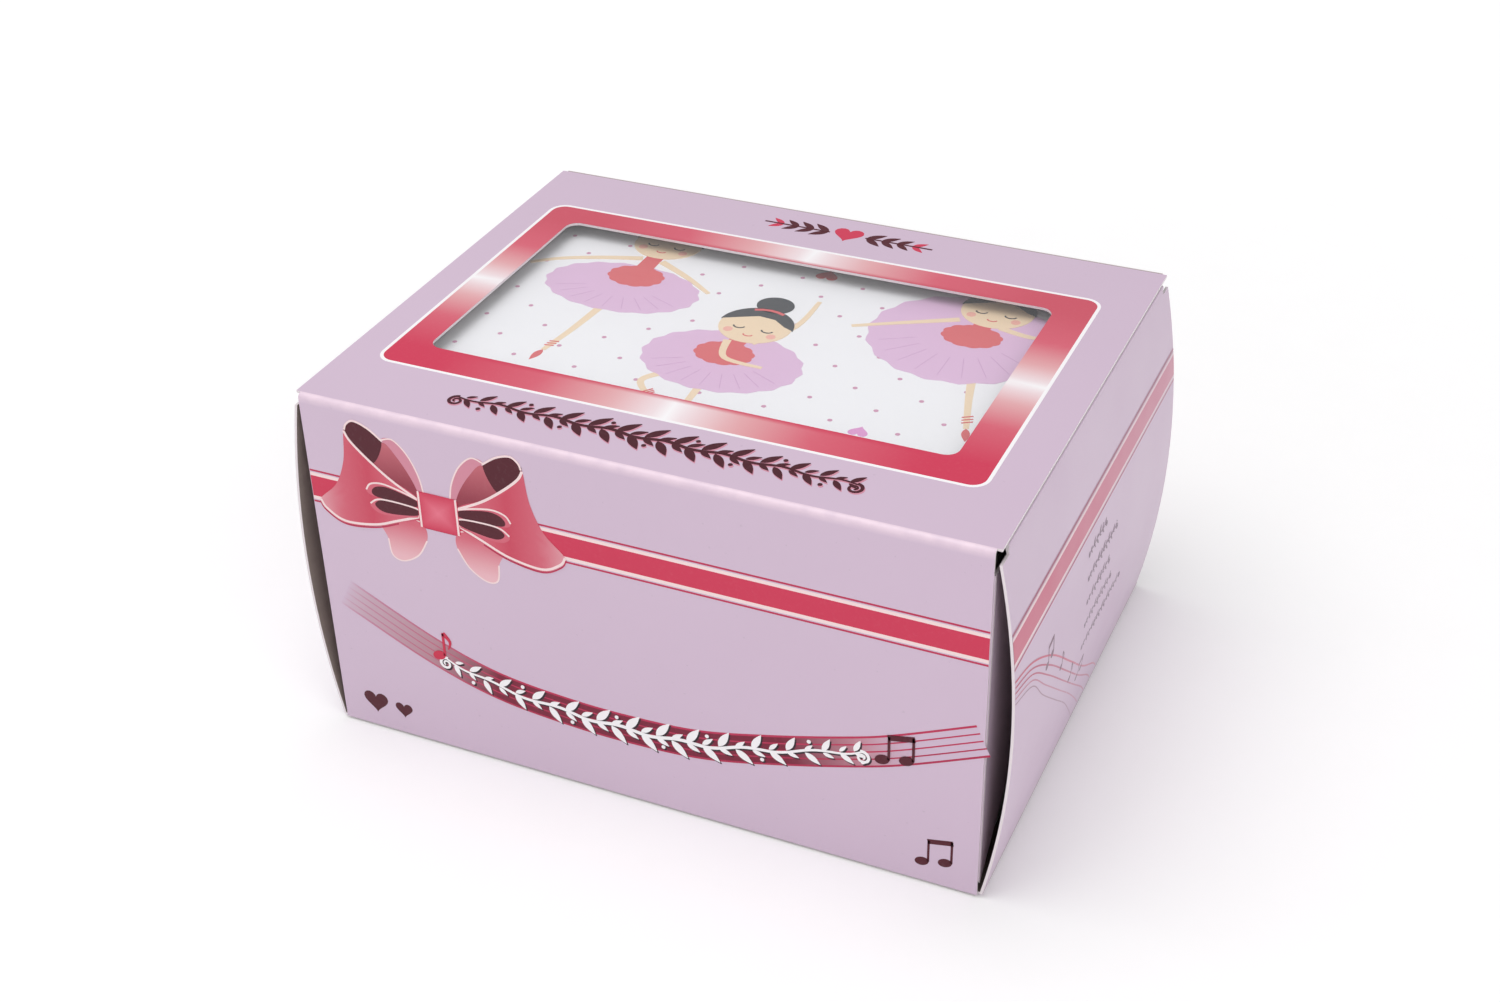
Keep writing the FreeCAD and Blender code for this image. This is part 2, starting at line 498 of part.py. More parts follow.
def ballerina():
    """Modelled standing, then laid down towards the front, as the closed lid holds her."""
    pivot = (0, CASE_MID, PIVOT_Z)

    def at(x, y, z):
        return (x, CASE_MID + y, PIVOT_Z + z)

    def laid(shape):
        return rotated_x(shape, 90, pivot)

    post = rod(0.9, at(0, 0, 1.75), at(0, 0, 5))
    legs = Part.makeCone(1.1, 1.9, 13, Vector(*at(0, 0, 4)), Vector(0, 0, 1))
    torso = Part.makeCone(1.9, 2.9, 10, Vector(*at(0, 0, 17)), Vector(0, 0, 1))
    shoulders = Part.makeSphere(2.9, Vector(*at(0, 0, 27)))
    neck = rod(1.0, at(0, 0, 27), at(0, 0, 32))
    head = Part.makeSphere(3.3, Vector(*at(0, 0, 33.2)))
    arms = Part.makeTorus(7.0, 0.75, Vector(*at(0, 0, 34)), Vector(0, 1, 0))
    gap = Part.makeBox(20, 4, 20, Vector(*at(-10, -2, 41)))
    low_gap = Part.makeBox(5, 4, 6, Vector(*at(-2.5, -2, 24)))
    arms = arms.cut(gap).cut(low_gap)
    bun = Part.makeSphere(1.7, Vector(*at(0, 0.8, 37.4)))
    save("ballerina_figure", laid(fuse(post, legs, torso, shoulders, neck, head, arms, bun)))
    skirt = Part.makeCone(3.6, TUTU_R, 1.6, Vector(*at(0, 0, 17.9)), Vector(0, 0, -1))
    brim = Part.makeCylinder(TUTU_R, 1.2, Vector(*at(0, 0, 15.1)), Vector(0, 0, 1))
    tutu = cut(fuse(skirt, brim), rod(2.6, at(0, 0, 10), at(0, 0, 20)))
    save("ballerina_tutu", laid(tutu))


for old in os.listdir("parts"):
    os.remove(os.path.join("parts", old))
for make in (carton_tray, carton_ends, carton_cover, case, case_fittings, lid, hinges, frame_of_movement,
             comb, drum, barrel, winding, governor, stop_wire, spindle, ballerina):
    make()
print("nodes:", len(os.listdir("parts")))
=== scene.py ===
from math import atan2, copysign, cos, exp, hypot, pi, radians, sin, sqrt
from random import Random

import bmesh
import bpy
from mathutils import Matrix, Vector, noise
from mathutils.geometry import tessellate_polygon


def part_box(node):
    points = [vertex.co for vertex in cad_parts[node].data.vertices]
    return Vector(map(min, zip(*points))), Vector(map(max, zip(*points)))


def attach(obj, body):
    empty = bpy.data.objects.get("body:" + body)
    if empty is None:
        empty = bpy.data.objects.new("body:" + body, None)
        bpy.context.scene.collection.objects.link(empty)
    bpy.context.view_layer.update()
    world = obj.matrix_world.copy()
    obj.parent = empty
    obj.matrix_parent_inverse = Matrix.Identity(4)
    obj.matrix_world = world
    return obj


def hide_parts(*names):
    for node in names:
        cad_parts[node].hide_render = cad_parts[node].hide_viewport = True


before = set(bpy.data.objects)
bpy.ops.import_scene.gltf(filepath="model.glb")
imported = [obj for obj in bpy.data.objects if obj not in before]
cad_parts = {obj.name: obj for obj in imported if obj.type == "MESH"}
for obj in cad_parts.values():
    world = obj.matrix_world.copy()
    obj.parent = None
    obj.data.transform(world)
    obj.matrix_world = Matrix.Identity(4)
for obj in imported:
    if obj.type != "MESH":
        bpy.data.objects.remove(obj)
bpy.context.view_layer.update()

MM = 0.001
TAU = 2 * pi


# ------------------------------------------------------------------ places, in mm, read from the frame
def box_mm(node):
    low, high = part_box(node)
    return low / MM, high / MM


CARTON_X, _, CARTON_Z = box_mm("carton_top_panel")[1]      # half the carton's length, and its height
CARTON_Y = -box_mm("carton_front_panel")[0].y              # half its depth
LID_LOW, LID_HIGH = box_mm("lid_top_board")
FILM_LOW, FILM_HIGH = box_mm("window_film")


def bowed_face(node):
    """The outer face of a bowed end panel, as how far out it is from the middle at height z."""
    low, high = box_mm(node)
    reach = max(abs(low.x), abs(high.x))
    middle, half = (low.z + high.z) / 2, (high.z - low.z) / 2
    sag = reach - CARTON_X
    radius = (half ** 2 + sag ** 2) / (2 * sag)
    return lambda z: reach - radius + sqrt(radius ** 2 - min(abs(z - middle), half) ** 2)


RIGHT_FACE = bowed_face("carton_right_end_panel")
LEFT_FACE = bowed_face("carton_left_end_panel")


# Each printed face of the carton: u runs right and v down from its top left corner as it is looked at, h is above it.
def on_front(u, v, h):
    return Vector((u - CARTON_X, -CARTON_Y - h, CARTON_Z - v))


def on_back(u, v, h):
    return Vector((CARTON_X - u, CARTON_Y + h, CARTON_Z - v))


def on_right(u, v, h):
    return Vector((RIGHT_FACE(CARTON_Z - v) + h, u - CARTON_Y, CARTON_Z - v))


def on_left(u, v, h):
    return Vector((-LEFT_FACE(CARTON_Z - v) - h, CARTON_Y - u, CARTON_Z - v))


def on_top(u, v, h):
    return Vector((u - CARTON_X, CARTON_Y - v, CARTON_Z + h))


def on_lid(x, y, h):
    return Vector((x, y, LID_HIGH.z + h))


# ------------------------------------------------------------------ colours
def ink(*eye):
    """A colour as the eye reads it, 0 to 255, in the linear values that shaders use."""
    shares = [value / 255 for value in eye]
    return Vector([s / 12.92 if s <= 0.04045 else ((s + 0.055) / 1.055) ** 2.4 for s in shares])


LILAC = ink(211, 188, 209)
RED = ink(209, 58, 88)
DEEP_PINK = ink(192, 52, 88)
PINK = ink(214, 104, 122)
PALE_PINK = ink(226, 158, 168)
CREAM = ink(247, 222, 222)
MAROON = ink(84, 24, 38)
STAVE = ink(124, 30, 56)
WHITE = ink(250, 248, 250)
GREYBOARD = ink(150, 138, 130)
DOT_PINK = ink(206, 150, 178)
TUTU = ink(222, 186, 218)
TUTU_LINE = ink(205, 162, 202)
CORAL = ink(218, 98, 102)
SKIN = ink(240, 216, 184)
HAIR = ink(58, 60, 64)
PAPER = ink(245, 245, 248)


def mix(a, b, share):
    share = max(0.0, min(1.0, share))
    return a * (1 - share) + b * share


def ramp(stops, at):
    """Colour at a place along (place, colour) stops."""
    for (p0, c0), (p1, c1) in zip(stops, stops[1:]):
        if at <= p1:
            return mix(c0, c1, (at - p0) / (p1 - p0))
    return stops[-1][1]


def rgba(colour):
    return (*colour, 1.0)


# ------------------------------------------------------------------ materials
class Look:
    """A material being built round its Principled shader. Fixed sockets are named with _ for each space."""

    def __init__(self, name, **fixed):
        self.material = bpy.data.materials.new(name)
        self.material.use_nodes = True
        self.tree = self.material.node_tree
        self.shader = self.tree.nodes["Principled BSDF"]
        for key, value in fixed.items():
            self.set(key.replace("_", " "), value)

    def feed(self, socket, value):
        """Gives a socket a colour, a number, a tuple or another node's output."""
        if isinstance(value, Vector):
            socket.default_value = rgba(value)
        elif isinstance(value, (int, float, tuple)):
            socket.default_value = value
        else:
            self.tree.links.new(value, socket)

    def set(self, socket, value):
        self.feed(self.shader.inputs[socket], value)

    def node(self, kind, *values, **options):
        """A node with its named inputs or properties set, and its first inputs fed in order."""
        made = self.tree.nodes.new(kind)
        for key, value in options.items():
            if key in made.inputs:
                made.inputs[key].default_value = value
            else:
                setattr(made, key, value)
        for socket, value in zip(made.inputs, values):
            self.feed(socket, value)
        return made

    def place(self, kind="Object"):
        return self.node("ShaderNodeTexCoord").outputs[kind]

    def parts(self, vector):
        return self.node("ShaderNodeSeparateXYZ", vector).outputs

    def noise(self, scale, detail=3.0, roughness=0.5, stretch=(1, 1, 1)):
        mapping = self.node("ShaderNodeMapping", self.place(), Scale=stretch)
        return self.node("ShaderNodeTexNoise", mapping.outputs[0], Scale=scale, Detail=detail,
                         Roughness=roughness).outputs["Fac"]

    def mix(self, a, b, factor, kind="RGBA"):
        """a where factor is 0 and b where it is 1."""
        first, out = {"RGBA": (6, 2), "FLOAT": (2, 0)}[kind]
        made = self.node("ShaderNodeMix", factor, data_type=kind)
        self.feed(made.inputs[first], a)
        self.feed(made.inputs[first + 1], b)
        return made.outputs[out]

    def ranged(self, *values):
        """The first value, mapped from between the next two to between the last two."""
        return self.node("ShaderNodeMapRange", *values).outputs[0]

    def math(self, operation, *values):
        return self.node("ShaderNodeMath", *values, operation=operation).outputs[0]

    def bump(self, height, strength, distance):
        made = self.node("ShaderNodeBump", strength, distance)
        self.feed(made.inputs["Height"], height)
        self.set("Normal", made.outputs[0])

    def finish(self, colour, rough_low, rough_high, rough_scale, bump_scale, strength, distance):
        """Colour, patches of changing gloss, and a fine grain."""
        self.set("Base Color", colour)
        self.set("Roughness", self.ranged(self.noise(rough_scale), 0.3, 0.7, rough_low, rough_high))
        self.bump(self.noise(bump_scale, 4.0), strength, distance)
        return self.material


FOLD_HIGHLIGHT_FROM, FOLD_HIGHLIGHT_TO = 2.2, 0.4      # the painted highlight band under the fold, below the carton's top


def board_material(name, outward, fold=False):
    """Coated board: printed lilac outside, grey-brown inside, pale on its cut edges, with a highlight painted in a band
    along a fold.
    """
    look = Look(name, Coat_Weight=0.15, Coat_Roughness=0.3)
    side = look.node("ShaderNodeVectorMath", look.place("Normal"), outward, operation="DOT_PRODUCT").outputs["Value"]
    printed = look.mix(LILAC * 0.97, LILAC * 1.03, look.noise(14.0))
    printed = look.mix(printed, LILAC * 0.8, look.ranged(look.noise(900.0, 2.0), 0.72, 0.8, 0.0, 0.5))
    if fold:
        # painted highlight: a pale pinkish-white band along the fold, broken up by noise
        height = look.parts(look.place())[2]
        fold_highlight = look.ranged(height, (CARTON_Z - FOLD_HIGHLIGHT_FROM) * MM, (CARTON_Z - FOLD_HIGHLIGHT_TO) * MM, 0.0, 0.75)
        mottled_fold_highlight = look.math("MULTIPLY", fold_highlight, look.ranged(look.noise(260.0), 0.3, 0.6, 0.6, 1.0))
        printed = look.mix(printed, ink(248, 224, 236), mottled_fold_highlight)
    raw = look.mix(GREYBOARD * 0.85, GREYBOARD * 1.15, look.noise(420.0, 5.0, 0.6, (1, 0.3, 1)))
    edge = look.mix(raw, ink(232, 222, 226), look.ranged(side, -0.6, -0.3, 0.0, 1.0))
    both = look.mix(edge, printed, look.ranged(side, 0.3, 0.5, 0.0, 1.0))
    return look.finish(both, 0.34, 0.46, 40.0, 1400.0, 0.12, 0.00004)


def print_material():
    """Printing ink: each shape carries its own colour, laid over the paper's grain."""
    look = Look("printing_ink", Specular_IOR_Level=0.25)
    own = look.node("ShaderNodeVertexColor", layer_name="ink").outputs["Color"]
    colour = look.mix(own, WHITE, look.ranged(look.noise(1100.0, 2.0), 0.55, 0.9, 0.0, 0.02))
    return look.finish(colour, 0.32, 0.44, 60.0, 1400.0, 0.08, 0.00003)


def film_material():
    """Thin clear window film with a few soft ripples."""
    look = Look("window_film", Base_Color=ink(244, 246, 250), Alpha=0.05, IOR=1.45)
    look.set("Roughness", look.ranged(look.noise(18.0), 0.3, 0.7, 0.08, 0.2))
    look.bump(look.noise(30.0, 2.0, 0.4, (1, 2.5, 1)), 0.3, 0.0006)
    return look.material


def paper_material(name, dots=True, colour=PAPER):
    """Box paper, plain or printed with small staggered dots on every face."""
    look = Look(name)
    base = look.mix(colour * 0.96, colour, look.noise(30.0))
    if dots:
        base = look.mix(base, DOT_PINK, dot_mask(look))
    return look.finish(base, 0.42, 0.55, 35.0, 900.0, 0.15, 0.00005)


DOTS_ACROSS, DOTS_UP = 15.2, 14.5      # spacing of the paper's staggered dots
DOT_R = 0.55


def dot_mask(look):
    """1 inside staggered dots. Each face of the box uses the two coordinates in its own plane."""
    x, y, z = look.parts(look.place())
    facing = look.parts(look.place("Normal"))
    on_x, on_z = [look.math("GREATER_THAN", look.math("ABSOLUTE", facing[axis]), 0.5) for axis in (0, 2)]
    across, upward = look.mix(x, y, on_x, "FLOAT"), look.mix(z, y, on_z, "FLOAT")
    masks = []
    for shift in (0.0, 0.5):
        offs = [cell_offset(look, across, DOTS_ACROSS * MM, shift), cell_offset(look, upward, DOTS_UP * MM, shift)]
        distance = look.math("SQRT", look.math("ADD", *[look.math("MULTIPLY", off, off) for off in offs]))
        masks.append(look.ranged(distance, DOT_R * 0.85 * MM, DOT_R * 1.15 * MM, 1.0, 0.0))
    return look.math("MAXIMUM", *masks)


def cell_offset(look, value, spacing, shift):
    """Distance, in metres, from the nearest cell centre along one direction."""
    part = look.math("FRACT", look.math("ADD", look.math("DIVIDE", value, spacing), shift))
    return look.math("MULTIPLY", look.math("SUBTRACT", part, 0.5), spacing)


def flock_material(name, colour):
    """Short pile flock: soft sheen, mottled where it has been stroked."""
    look = Look(name, Roughness=0.95, Sheen_Weight=0.7, Sheen_Roughness=0.35, Sheen_Tint=mix(colour, WHITE, 0.6))
    pile = look.noise(2600.0, 2.0)
    stroked = look.ranged(look.noise(45.0, 4.0, 0.6), 0.35, 0.65, 0.2, 0.8)
    base = look.mix(colour * 0.72, colour * 1.12, stroked)
    look.set("Base Color", look.mix(base, colour * 1.35, look.ranged(pile, 0.5, 0.8, 0.0, 0.45)))
    look.bump(pile, 0.6, 0.00025)
    return look.material


def metal_material(name, colour, rough, brushed=(1, 1, 1), stain=0.25):
    """Drawn or cut metal with fine tool lines and slight tarnish."""
    look = Look(name, Metallic=1.0)
    lines = look.noise(700.0, 3.0, 0.6, brushed)
    tarnish = look.ranged(look.noise(90.0, 4.0, 0.6), 0.45, 0.8, 0.0, stain)
    look.set("Base Color", look.mix(colour, colour * 0.6, tarnish))
    look.set("Roughness", look.ranged(lines, 0.3, 0.7, rough * 0.75, rough * 1.3))
    look.bump(lines, 0.25, 0.00004)
    return look.material


def plain_look(name, colour, rough, mottling=0.06, coat=0.0, grain=700.0, depth=0.00004):
    look = Look(name, Coat_Weight=coat)
    base = look.mix(colour * (1 - mottling), colour * (1 + mottling), look.noise(60.0))
    look.finish(base, rough * 0.85, rough * 1.15, 80.0, grain, 0.2, depth)
    return look


def plain_material(*args, **kinds):
    return plain_look(*args, **kinds).material


def mirror_material():
    look = Look("mirror_glass", Metallic=1.0)
    haze = look.noise(25.0, 4.0)
    look.set("Base Color", look.mix(ink(232, 236, 240), ink(214, 220, 226), haze))
    look.set("Roughness", look.ranged(haze, 0.4, 0.8, 0.015, 0.06))
    return look.material


def net_material():
    """Tulle: a fine net, solid along its threads and half open between them."""
    look = Look("tulle_net", Roughness=0.7, Sheen_Weight=0.4)
    threads = look.node("ShaderNodeTexVoronoi", look.place(), feature="DISTANCE_TO_EDGE", Scale=1700.0)
    look.set("Alpha", look.ranged(threads.outputs["Distance"], 0.04, 0.2, 1.0, 0.45))
    look.set("Base Color", look.mix(TUTU, ink(246, 226, 242), look.noise(120.0)))
    return look.material


# ------------------------------------------------------------------ pieces and printed shapes
def add_piece(name, points, faces, material, body, slot, shaded=True, inks=()):
    """A piece from points in mm. inks gives each point its printed colour. Without it, coincident points are joined."""
    mesh = bpy.data.meshes.new(name)
    mesh.from_pydata([tuple(Vector(p) * MM) for p in points], [], faces)
    if inks:
        colours = mesh.color_attributes.new("ink", "FLOAT_COLOR", "POINT")
        for item, colour in zip(colours.data, inks):
            item.color = rgba(colour)
    work = bmesh.new()
    work.from_mesh(mesh)
    if not inks:
        bmesh.ops.remove_doubles(work, verts=work.verts, dist=1e-7)
    bmesh.ops.recalc_face_normals(work, faces=work.faces)
    work.to_mesh(mesh)
    work.free()
    mesh.materials.append(material)
    for polygon in mesh.polygons:
        polygon.use_smooth = shaded
    piece = bpy.data.objects.new(name, mesh)
    bpy.context.scene.collection.objects.link(piece)
    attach(piece, body)
    return piece


class Print:
    """Everything printed on one body: thin closed shapes that stand a few hundredths of a millimetre off its face."""

    FOOT, FIRST, STEP = 0.004, 0.016, 0.014      # heights of the shapes' undersides, of layer 0 and of each layer more

    def __init__(self, name, body, slot, place):
        self.name, self.body, self.slot, self.place = name, body, slot, place
        self.points, self.faces, self.inks = [], [], []

    def slab(self, flat_points, flat_faces, rim, colours, layer):
        """A slab from flat points (u, v), their faces, and the loops of indices round its rim."""
        start, count = len(self.points), len(flat_points)
        for h in (self.FIRST + self.STEP * layer, self.FOOT):
            self.points += [self.place(u, v, h) for u, v in flat_points]
        self.inks += colours + colours
        for face in flat_faces:
            self.faces.append([start + i for i in face])
            self.faces.append([start + count + i for i in reversed(face)])
        for loop in rim:
            for a, b in zip(loop, loop[1:] + loop[:1]):
                self.faces.append([start + b, start + a, start + count + a, start + count + b])

    def area(self, outline, colour, layer=0):
        """A filled outline of (u, v) points, in one colour or a colour of (u, v)."""
        triangles = tessellate_polygon([[Vector((u, v, 0)) for u, v in outline]])
        tint = colour if callable(colour) else (lambda u, v: colour)
        self.slab(outline, [list(t) for t in triangles], [list(range(len(outline)))],
                  [tint(u, v) for u, v in outline], layer)

    def blob(self, outline, colour, layer=0, rings=4, centre=None):
        """A filled star-shaped outline with inner rings, so that a colour of (u, v, ring share) can shade it."""
        n = len(outline)
        cu, cv = centre or (sum(p[0] for p in outline) / n, sum(p[1] for p in outline) / n)
        tint = colour if callable(colour) else (lambda u, v, share: colour)
        flat, colours, faces = [(cu, cv)], [tint(cu, cv, 0.0)], []
        for ring in range(1, rings + 1):
            share = ring / rings
            for u, v in outline:
                flat.append((cu + (u - cu) * share, cv + (v - cv) * share))
                colours.append(tint(*flat[-1], share))
        for i in range(n):
            j = (i + 1) % n
            faces.append([0, 1 + i, 1 + j])
            for ring in range(rings - 1):
                a, b = 1 + ring * n, 1 + (ring + 1) * n
                faces.append([a + i, b + i, b + j, a + j])
        last = 1 + (rings - 1) * n
        self.slab(flat, faces, [list(range(last, last + n))], colours, layer)

    def stroke(self, path, width, colour, layer=0, across=1):
        """A band along path, with one width or a width of its share, and one colour or a colour of its share."""
        wide = width if callable(width) else (lambda share: width)
        tint = colour if callable(colour) else (lambda share: colour)
        flat, colours, faces = [], [], []
        n, row = len(path), across + 1
        for i, (u, v) in enumerate(path):
            before, after = path[max(i - 1, 0)], path[min(i + 1, n - 1)]
            du, dv = after[0] - before[0], after[1] - before[1]
            length = hypot(du, dv) or 1.0
            share = i / (n - 1)
            for k in range(row):
                off = wide(share) / 2 * (2 * k / across - 1)
                flat.append((u + dv / length * off, v - du / length * off))
                colours.append(tint(share))
        for i in range(n - 1):
            for k in range(across):
                a = i * row + k
                faces.append([a, a + 1, a + row + 1, a + row])
        rim = [i * row for i in range(n)] + [(n - 1) * row + k for k in range(1, row)]
        rim += [i * row + across for i in range(n - 2, -1, -1)] + list(range(across - 1, 0, -1))
        self.slab(flat, faces, [rim], colours, layer)

    def dot(self, u, v, radius, colour, layer=0, sides=14):
        self.blob(ellipse(u, v, radius, radius, sides), colour, layer, rings=1)

    def make(self, material):
        add_piece(self.name, self.points, self.faces, material, self.body, self.slot, shaded=False, inks=self.inks)


def ellipse(u, v, ru, rv, sides=32, start=0.0, turn=TAU, lean=0.0):
    """Points round an ellipse, or along a part of it with both its ends."""
    points = []
    for k in range(sides + (turn != TAU)):
        a = start + turn * k / sides
        x, y = ru * cos(a), rv * sin(a)
        points.append((u + x * cos(lean) - y * sin(lean), v + x * sin(lean) + y * cos(lean)))
    return points


def smooth(points, closed=False, steps=6):
    """A Catmull-Rom curve through a few points."""
    n = len(points)
    result = []
    for i in range(n if closed else n - 1):
        around = range(i - 1, i + 3)
        p = [points[k % n] if closed else points[min(max(k, 0), n - 1)] for k in around]
        for s in range(steps):
            t = s / steps
            weights = (-t ** 3 + 2 * t ** 2 - t, 3 * t ** 3 - 5 * t ** 2 + 2,
                       -3 * t ** 3 + 4 * t ** 2 + t, t ** 3 - t ** 2)
            result.append(tuple(sum(w * q[axis] for w, q in zip(weights, p)) / 2 for axis in (0, 1)))
    return result if closed else result + [tuple(points[-1])]


def between(a, b, share):
    """The place a share of the way from one (u, v) to another."""
    return (a[0] + (b[0] - a[0]) * share, a[1] + (b[1] - a[1]) * share)


def rounded(u0, u1, v0, v1, radius, per_side=12, per_corner=6):
    """A rounded rectangle, with points along its sides too, so that colour can change along them."""
    points = []
    corners = [(u1 - radius, v1 - radius), (u0 + radius, v1 - radius),
               (u0 + radius, v0 + radius), (u1 - radius, v0 + radius)]
    for quarter, (cu, cv) in enumerate(corners):
        points += ellipse(cu, cv, radius, radius, per_corner, quarter * TAU / 4, TAU / 4)
        begin = points[-1]
        end = ellipse(*corners[(quarter + 1) % 4], radius, radius, 1, (quarter + 1) * TAU / 4)[0]
        points += [between(begin, end, k / per_side) for k in range(1, per_side)]
    return points


def path_reader(points):
    """A function of a share of the way along a list of points, which gives the place and the direction there."""
    def read(share):
        at = max(0.0, min(share, 1.0)) * (len(points) - 1)
        i = min(int(at), len(points) - 2)
        (u0, v0), (u1, v1) = points[i], points[i + 1]
        length = hypot(u1 - u0, v1 - v0) or 1.0
        return between(points[i], points[i + 1], at - i), ((u1 - u0) / length, (v1 - v0) / length)
    return read


def heart(art, u, v, size, colour, layer):
    points = []
    for k in range(28):
        a = TAU * k / 28
        x = 16 * sin(a) ** 3
        y = 13 * cos(a) - 5 * cos(2 * a) - 2 * cos(3 * a) - cos(4 * a)
        points.append((u + x * size / 32, v - y * size / 32))
    art.blob(points, colour, layer, rings=2)


def leaf(art, base, angle, length, colour, layer):
    spine = [(base[0] + cos(angle) * length * s / 8, base[1] + sin(angle) * length * s / 8) for s in range(9)]
    art.stroke(spine, lambda s: 0.02 * length + 0.34 * length * sin(pi * s ** 0.8), colour, layer)


def flourish(art, path_of, height, colour, layer, leaves=20):
    """A bold laurel vine along a path. path_of(share) gives the path's place and its direction."""
    def at(share, off):
        (u, v), (du, dv) = path_of(share)
        return (u - dv * off * height, v + du * off * height)

    stem = [at(s / 120, 0.05 * sin(leaves / 4 * TAU * s / 120)) for s in range(121)]
    art.stroke(stem, lambda s: height * (0.05 + 0.05 * sin(pi * s)), colour, layer)
    for k in range(leaves):
        share = (k + 0.5) / leaves
        side = 1 if k % 2 == 0 else -1
        _, (du, dv) = path_of(share)
        heading = atan2(dv, du)
        grown = height * (0.62 + 0.38 * sin(pi * share))
        leaf(art, at(share, 0.03 * side), heading + side * 0.85, 0.62 * grown, colour, layer + 1)
        leaf(art, at(share, -0.03 * side), heading - side * 0.55, 0.40 * grown, colour, layer + 2)
        if k % 3 == 1:
            art.dot(*at(share + 0.4 / leaves, -0.30 * side), 0.055 * height, colour, layer + 3, 12)
    for end, way in ((0.0, -1), (1.0, 1)):
        _, (du, dv) = path_of(end)
        heading = atan2(dv * way, du * way)
        cu, cv = at(end, 0.16)
        curl = []
        for s in range(29):
            a = heading + (-TAU / 4 + s / 28 * 1.5 * TAU) * way
            r = 0.19 * height * (1 - 0.8 * s / 28)
            curl.append((cu + r * cos(a), cv + r * sin(a)))
        art.stroke(curl, lambda s: height * (0.09 - 0.05 * s), colour, layer + 1)


def music_note(art, u, v, size, colour, layer, pair=False):
    """A quaver, or two joined by a beam. (u, v) is the first head."""
    stem_u, stem_v = 0.26 * size, 1.15 * size
    tops = []
    for hu, hv in [(u, v)] + ([(u + 0.95 * size, v - 0.22 * size)] if pair else []):
        art.blob(ellipse(hu, hv, 0.3 * size, 0.21 * size, 20, lean=-0.35), colour, layer, rings=1)
        tops.append((hu + stem_u, hv - stem_v))
        art.stroke([(hu + stem_u, hv - 0.05 * size), tops[-1]], 0.1 * size, colour, layer)
    if pair:
        beam = [(tu + off * size, tv + 0.06 * size) for (tu, tv), off in zip(tops, (-0.05, 0.05))]
        art.stroke(beam, 0.24 * size, colour, layer)
    else:
        tu, tv = tops[0]
        flag = smooth([(tu, tv), (tu + 0.3 * size, tv + 0.35 * size), (tu + 0.2 * size, tv + 0.75 * size)])
        art.stroke(flag, lambda s: 0.2 * size * (1 - 0.8 * s), colour, layer)


# ------------------------------------------------------------------ the carton's printing
def straight(start, end, steps):
    """Points along a straight line from one (u, v) to another."""
    return [between(start, end, s / steps) for s in range(steps + 1)]


RIBBON_TOP, RIBBON_BOTTOM = 18.8, 27.3
RIBBON_ROWS = [  # from, to, as shares of the ribbon's height, and the colour
    (0.00, 0.055, DEEP_PINK), (0.09, 0.19, CREAM), (0.19, 0.81, RED), (0.81, 0.91, CREAM), (0.945, 1.00, DEEP_PINK)]
RIBBON_ENDS = (1.2, 156.8)      # where it stops on the carton's long faces


def ribbon(art, u0, u1, shade=lambda share: 0.0):
    """The ribbon's rows from u0 to u1, each sunk into the lilac by shade of the share of the way along."""
    height = RIBBON_BOTTOM - RIBBON_TOP
    for low, high, colour in RIBBON_ROWS:
        middle = RIBBON_TOP + height * (low + high) / 2
        art.stroke(straight((u0, middle), (u1, middle), 24), height * (high - low),
                   lambda s, c=colour: mix(c, LILAC, shade(s)), across=4)


BOW_U, KNOT = 33.4, (5.0, 17.9, 27.0)      # centre, half width of the knot, its top and bottom
# Outlines of the bow's left half, as (distance from the centre, depth)
LOOP_FACE = [(21.7, 6.7), (22.8, 14.4), (25.6, 21.1), (30.3, 26.1), (29.0, 28.7), (24.5, 31.1), (16.7, 30.0),
             (10.6, 27.4), (5.0, 25.0), (5.0, 19.8), (11.2, 16.4), (16.7, 12.2), (20.6, 8.5)]
LOOP_MOUTH = [(21.6, 6.8), (20.9, 4.9), (18.9, 3.9), (15.5, 5.0), (12.3, 7.5), (15.2, 13.4), (18.8, 10.4)]
LOOP_BACK = [(12.3, 7.5), (8.6, 11.0), (5.4, 16.4), (5.0, 19.8), (11.2, 16.4), (15.2, 13.4)]
BACK_LOBE = [(12.3, 6.9), (9.5, 6.3), (6.3, 9.3), (4.1, 13.9), (3.3, 18.0), (5.2, 17.6), (8.6, 11.0)]
INNER_UPPER = [(17.8, 20.6), (16.6, 18.9), (13.6, 18.2), (9.4, 18.9), (5.0, 20.2), (5.0, 22.0), (11.2, 22.1),
               (16.6, 21.8)]
INNER_LOWER = [(17.2, 24.0), (15.0, 22.5), (10.6, 22.2), (5.0, 22.7), (5.0, 24.6), (10.0, 25.8), (14.4, 26.2),
               (16.6, 25.4)]
TAIL = [(15.8, 26.6), (7.6, 25.6), (4.0, 27.0), (3.8, 30.6), (6.4, 35.0), (10.4, 37.5), (13.2, 36.6), (13.8, 32.4)]
LOOP_EDGES = [  # width, colour, layer and the line of each edge drawn on a loop
    (0.45, CREAM, 6, [(21.5, 6.4), (20.8, 4.8), (18.9, 3.7), (15.5, 4.8), (12.2, 7.2)]),
    (0.6, CREAM, 6, [(21.7, 6.7), (20.4, 9.0), (16.7, 12.5), (11.2, 16.7), (5.0, 20.1)]),
    (0.6, CREAM, 6, [(30.3, 26.1), (29.0, 28.2), (24.5, 30.5), (16.7, 29.5), (10.6, 27.0), (5.0, 24.6)]),
    (0.3, DEEP_PINK, 7, [(30.5, 26.7), (29.2, 28.9), (24.5, 31.3), (16.7, 30.3), (10.6, 27.8)])]
LOOP_SHADES = [(0, DEEP_PINK), (10, PINK), (17, ink(205, 74, 96)), (25, PINK), (30, PALE_PINK)]


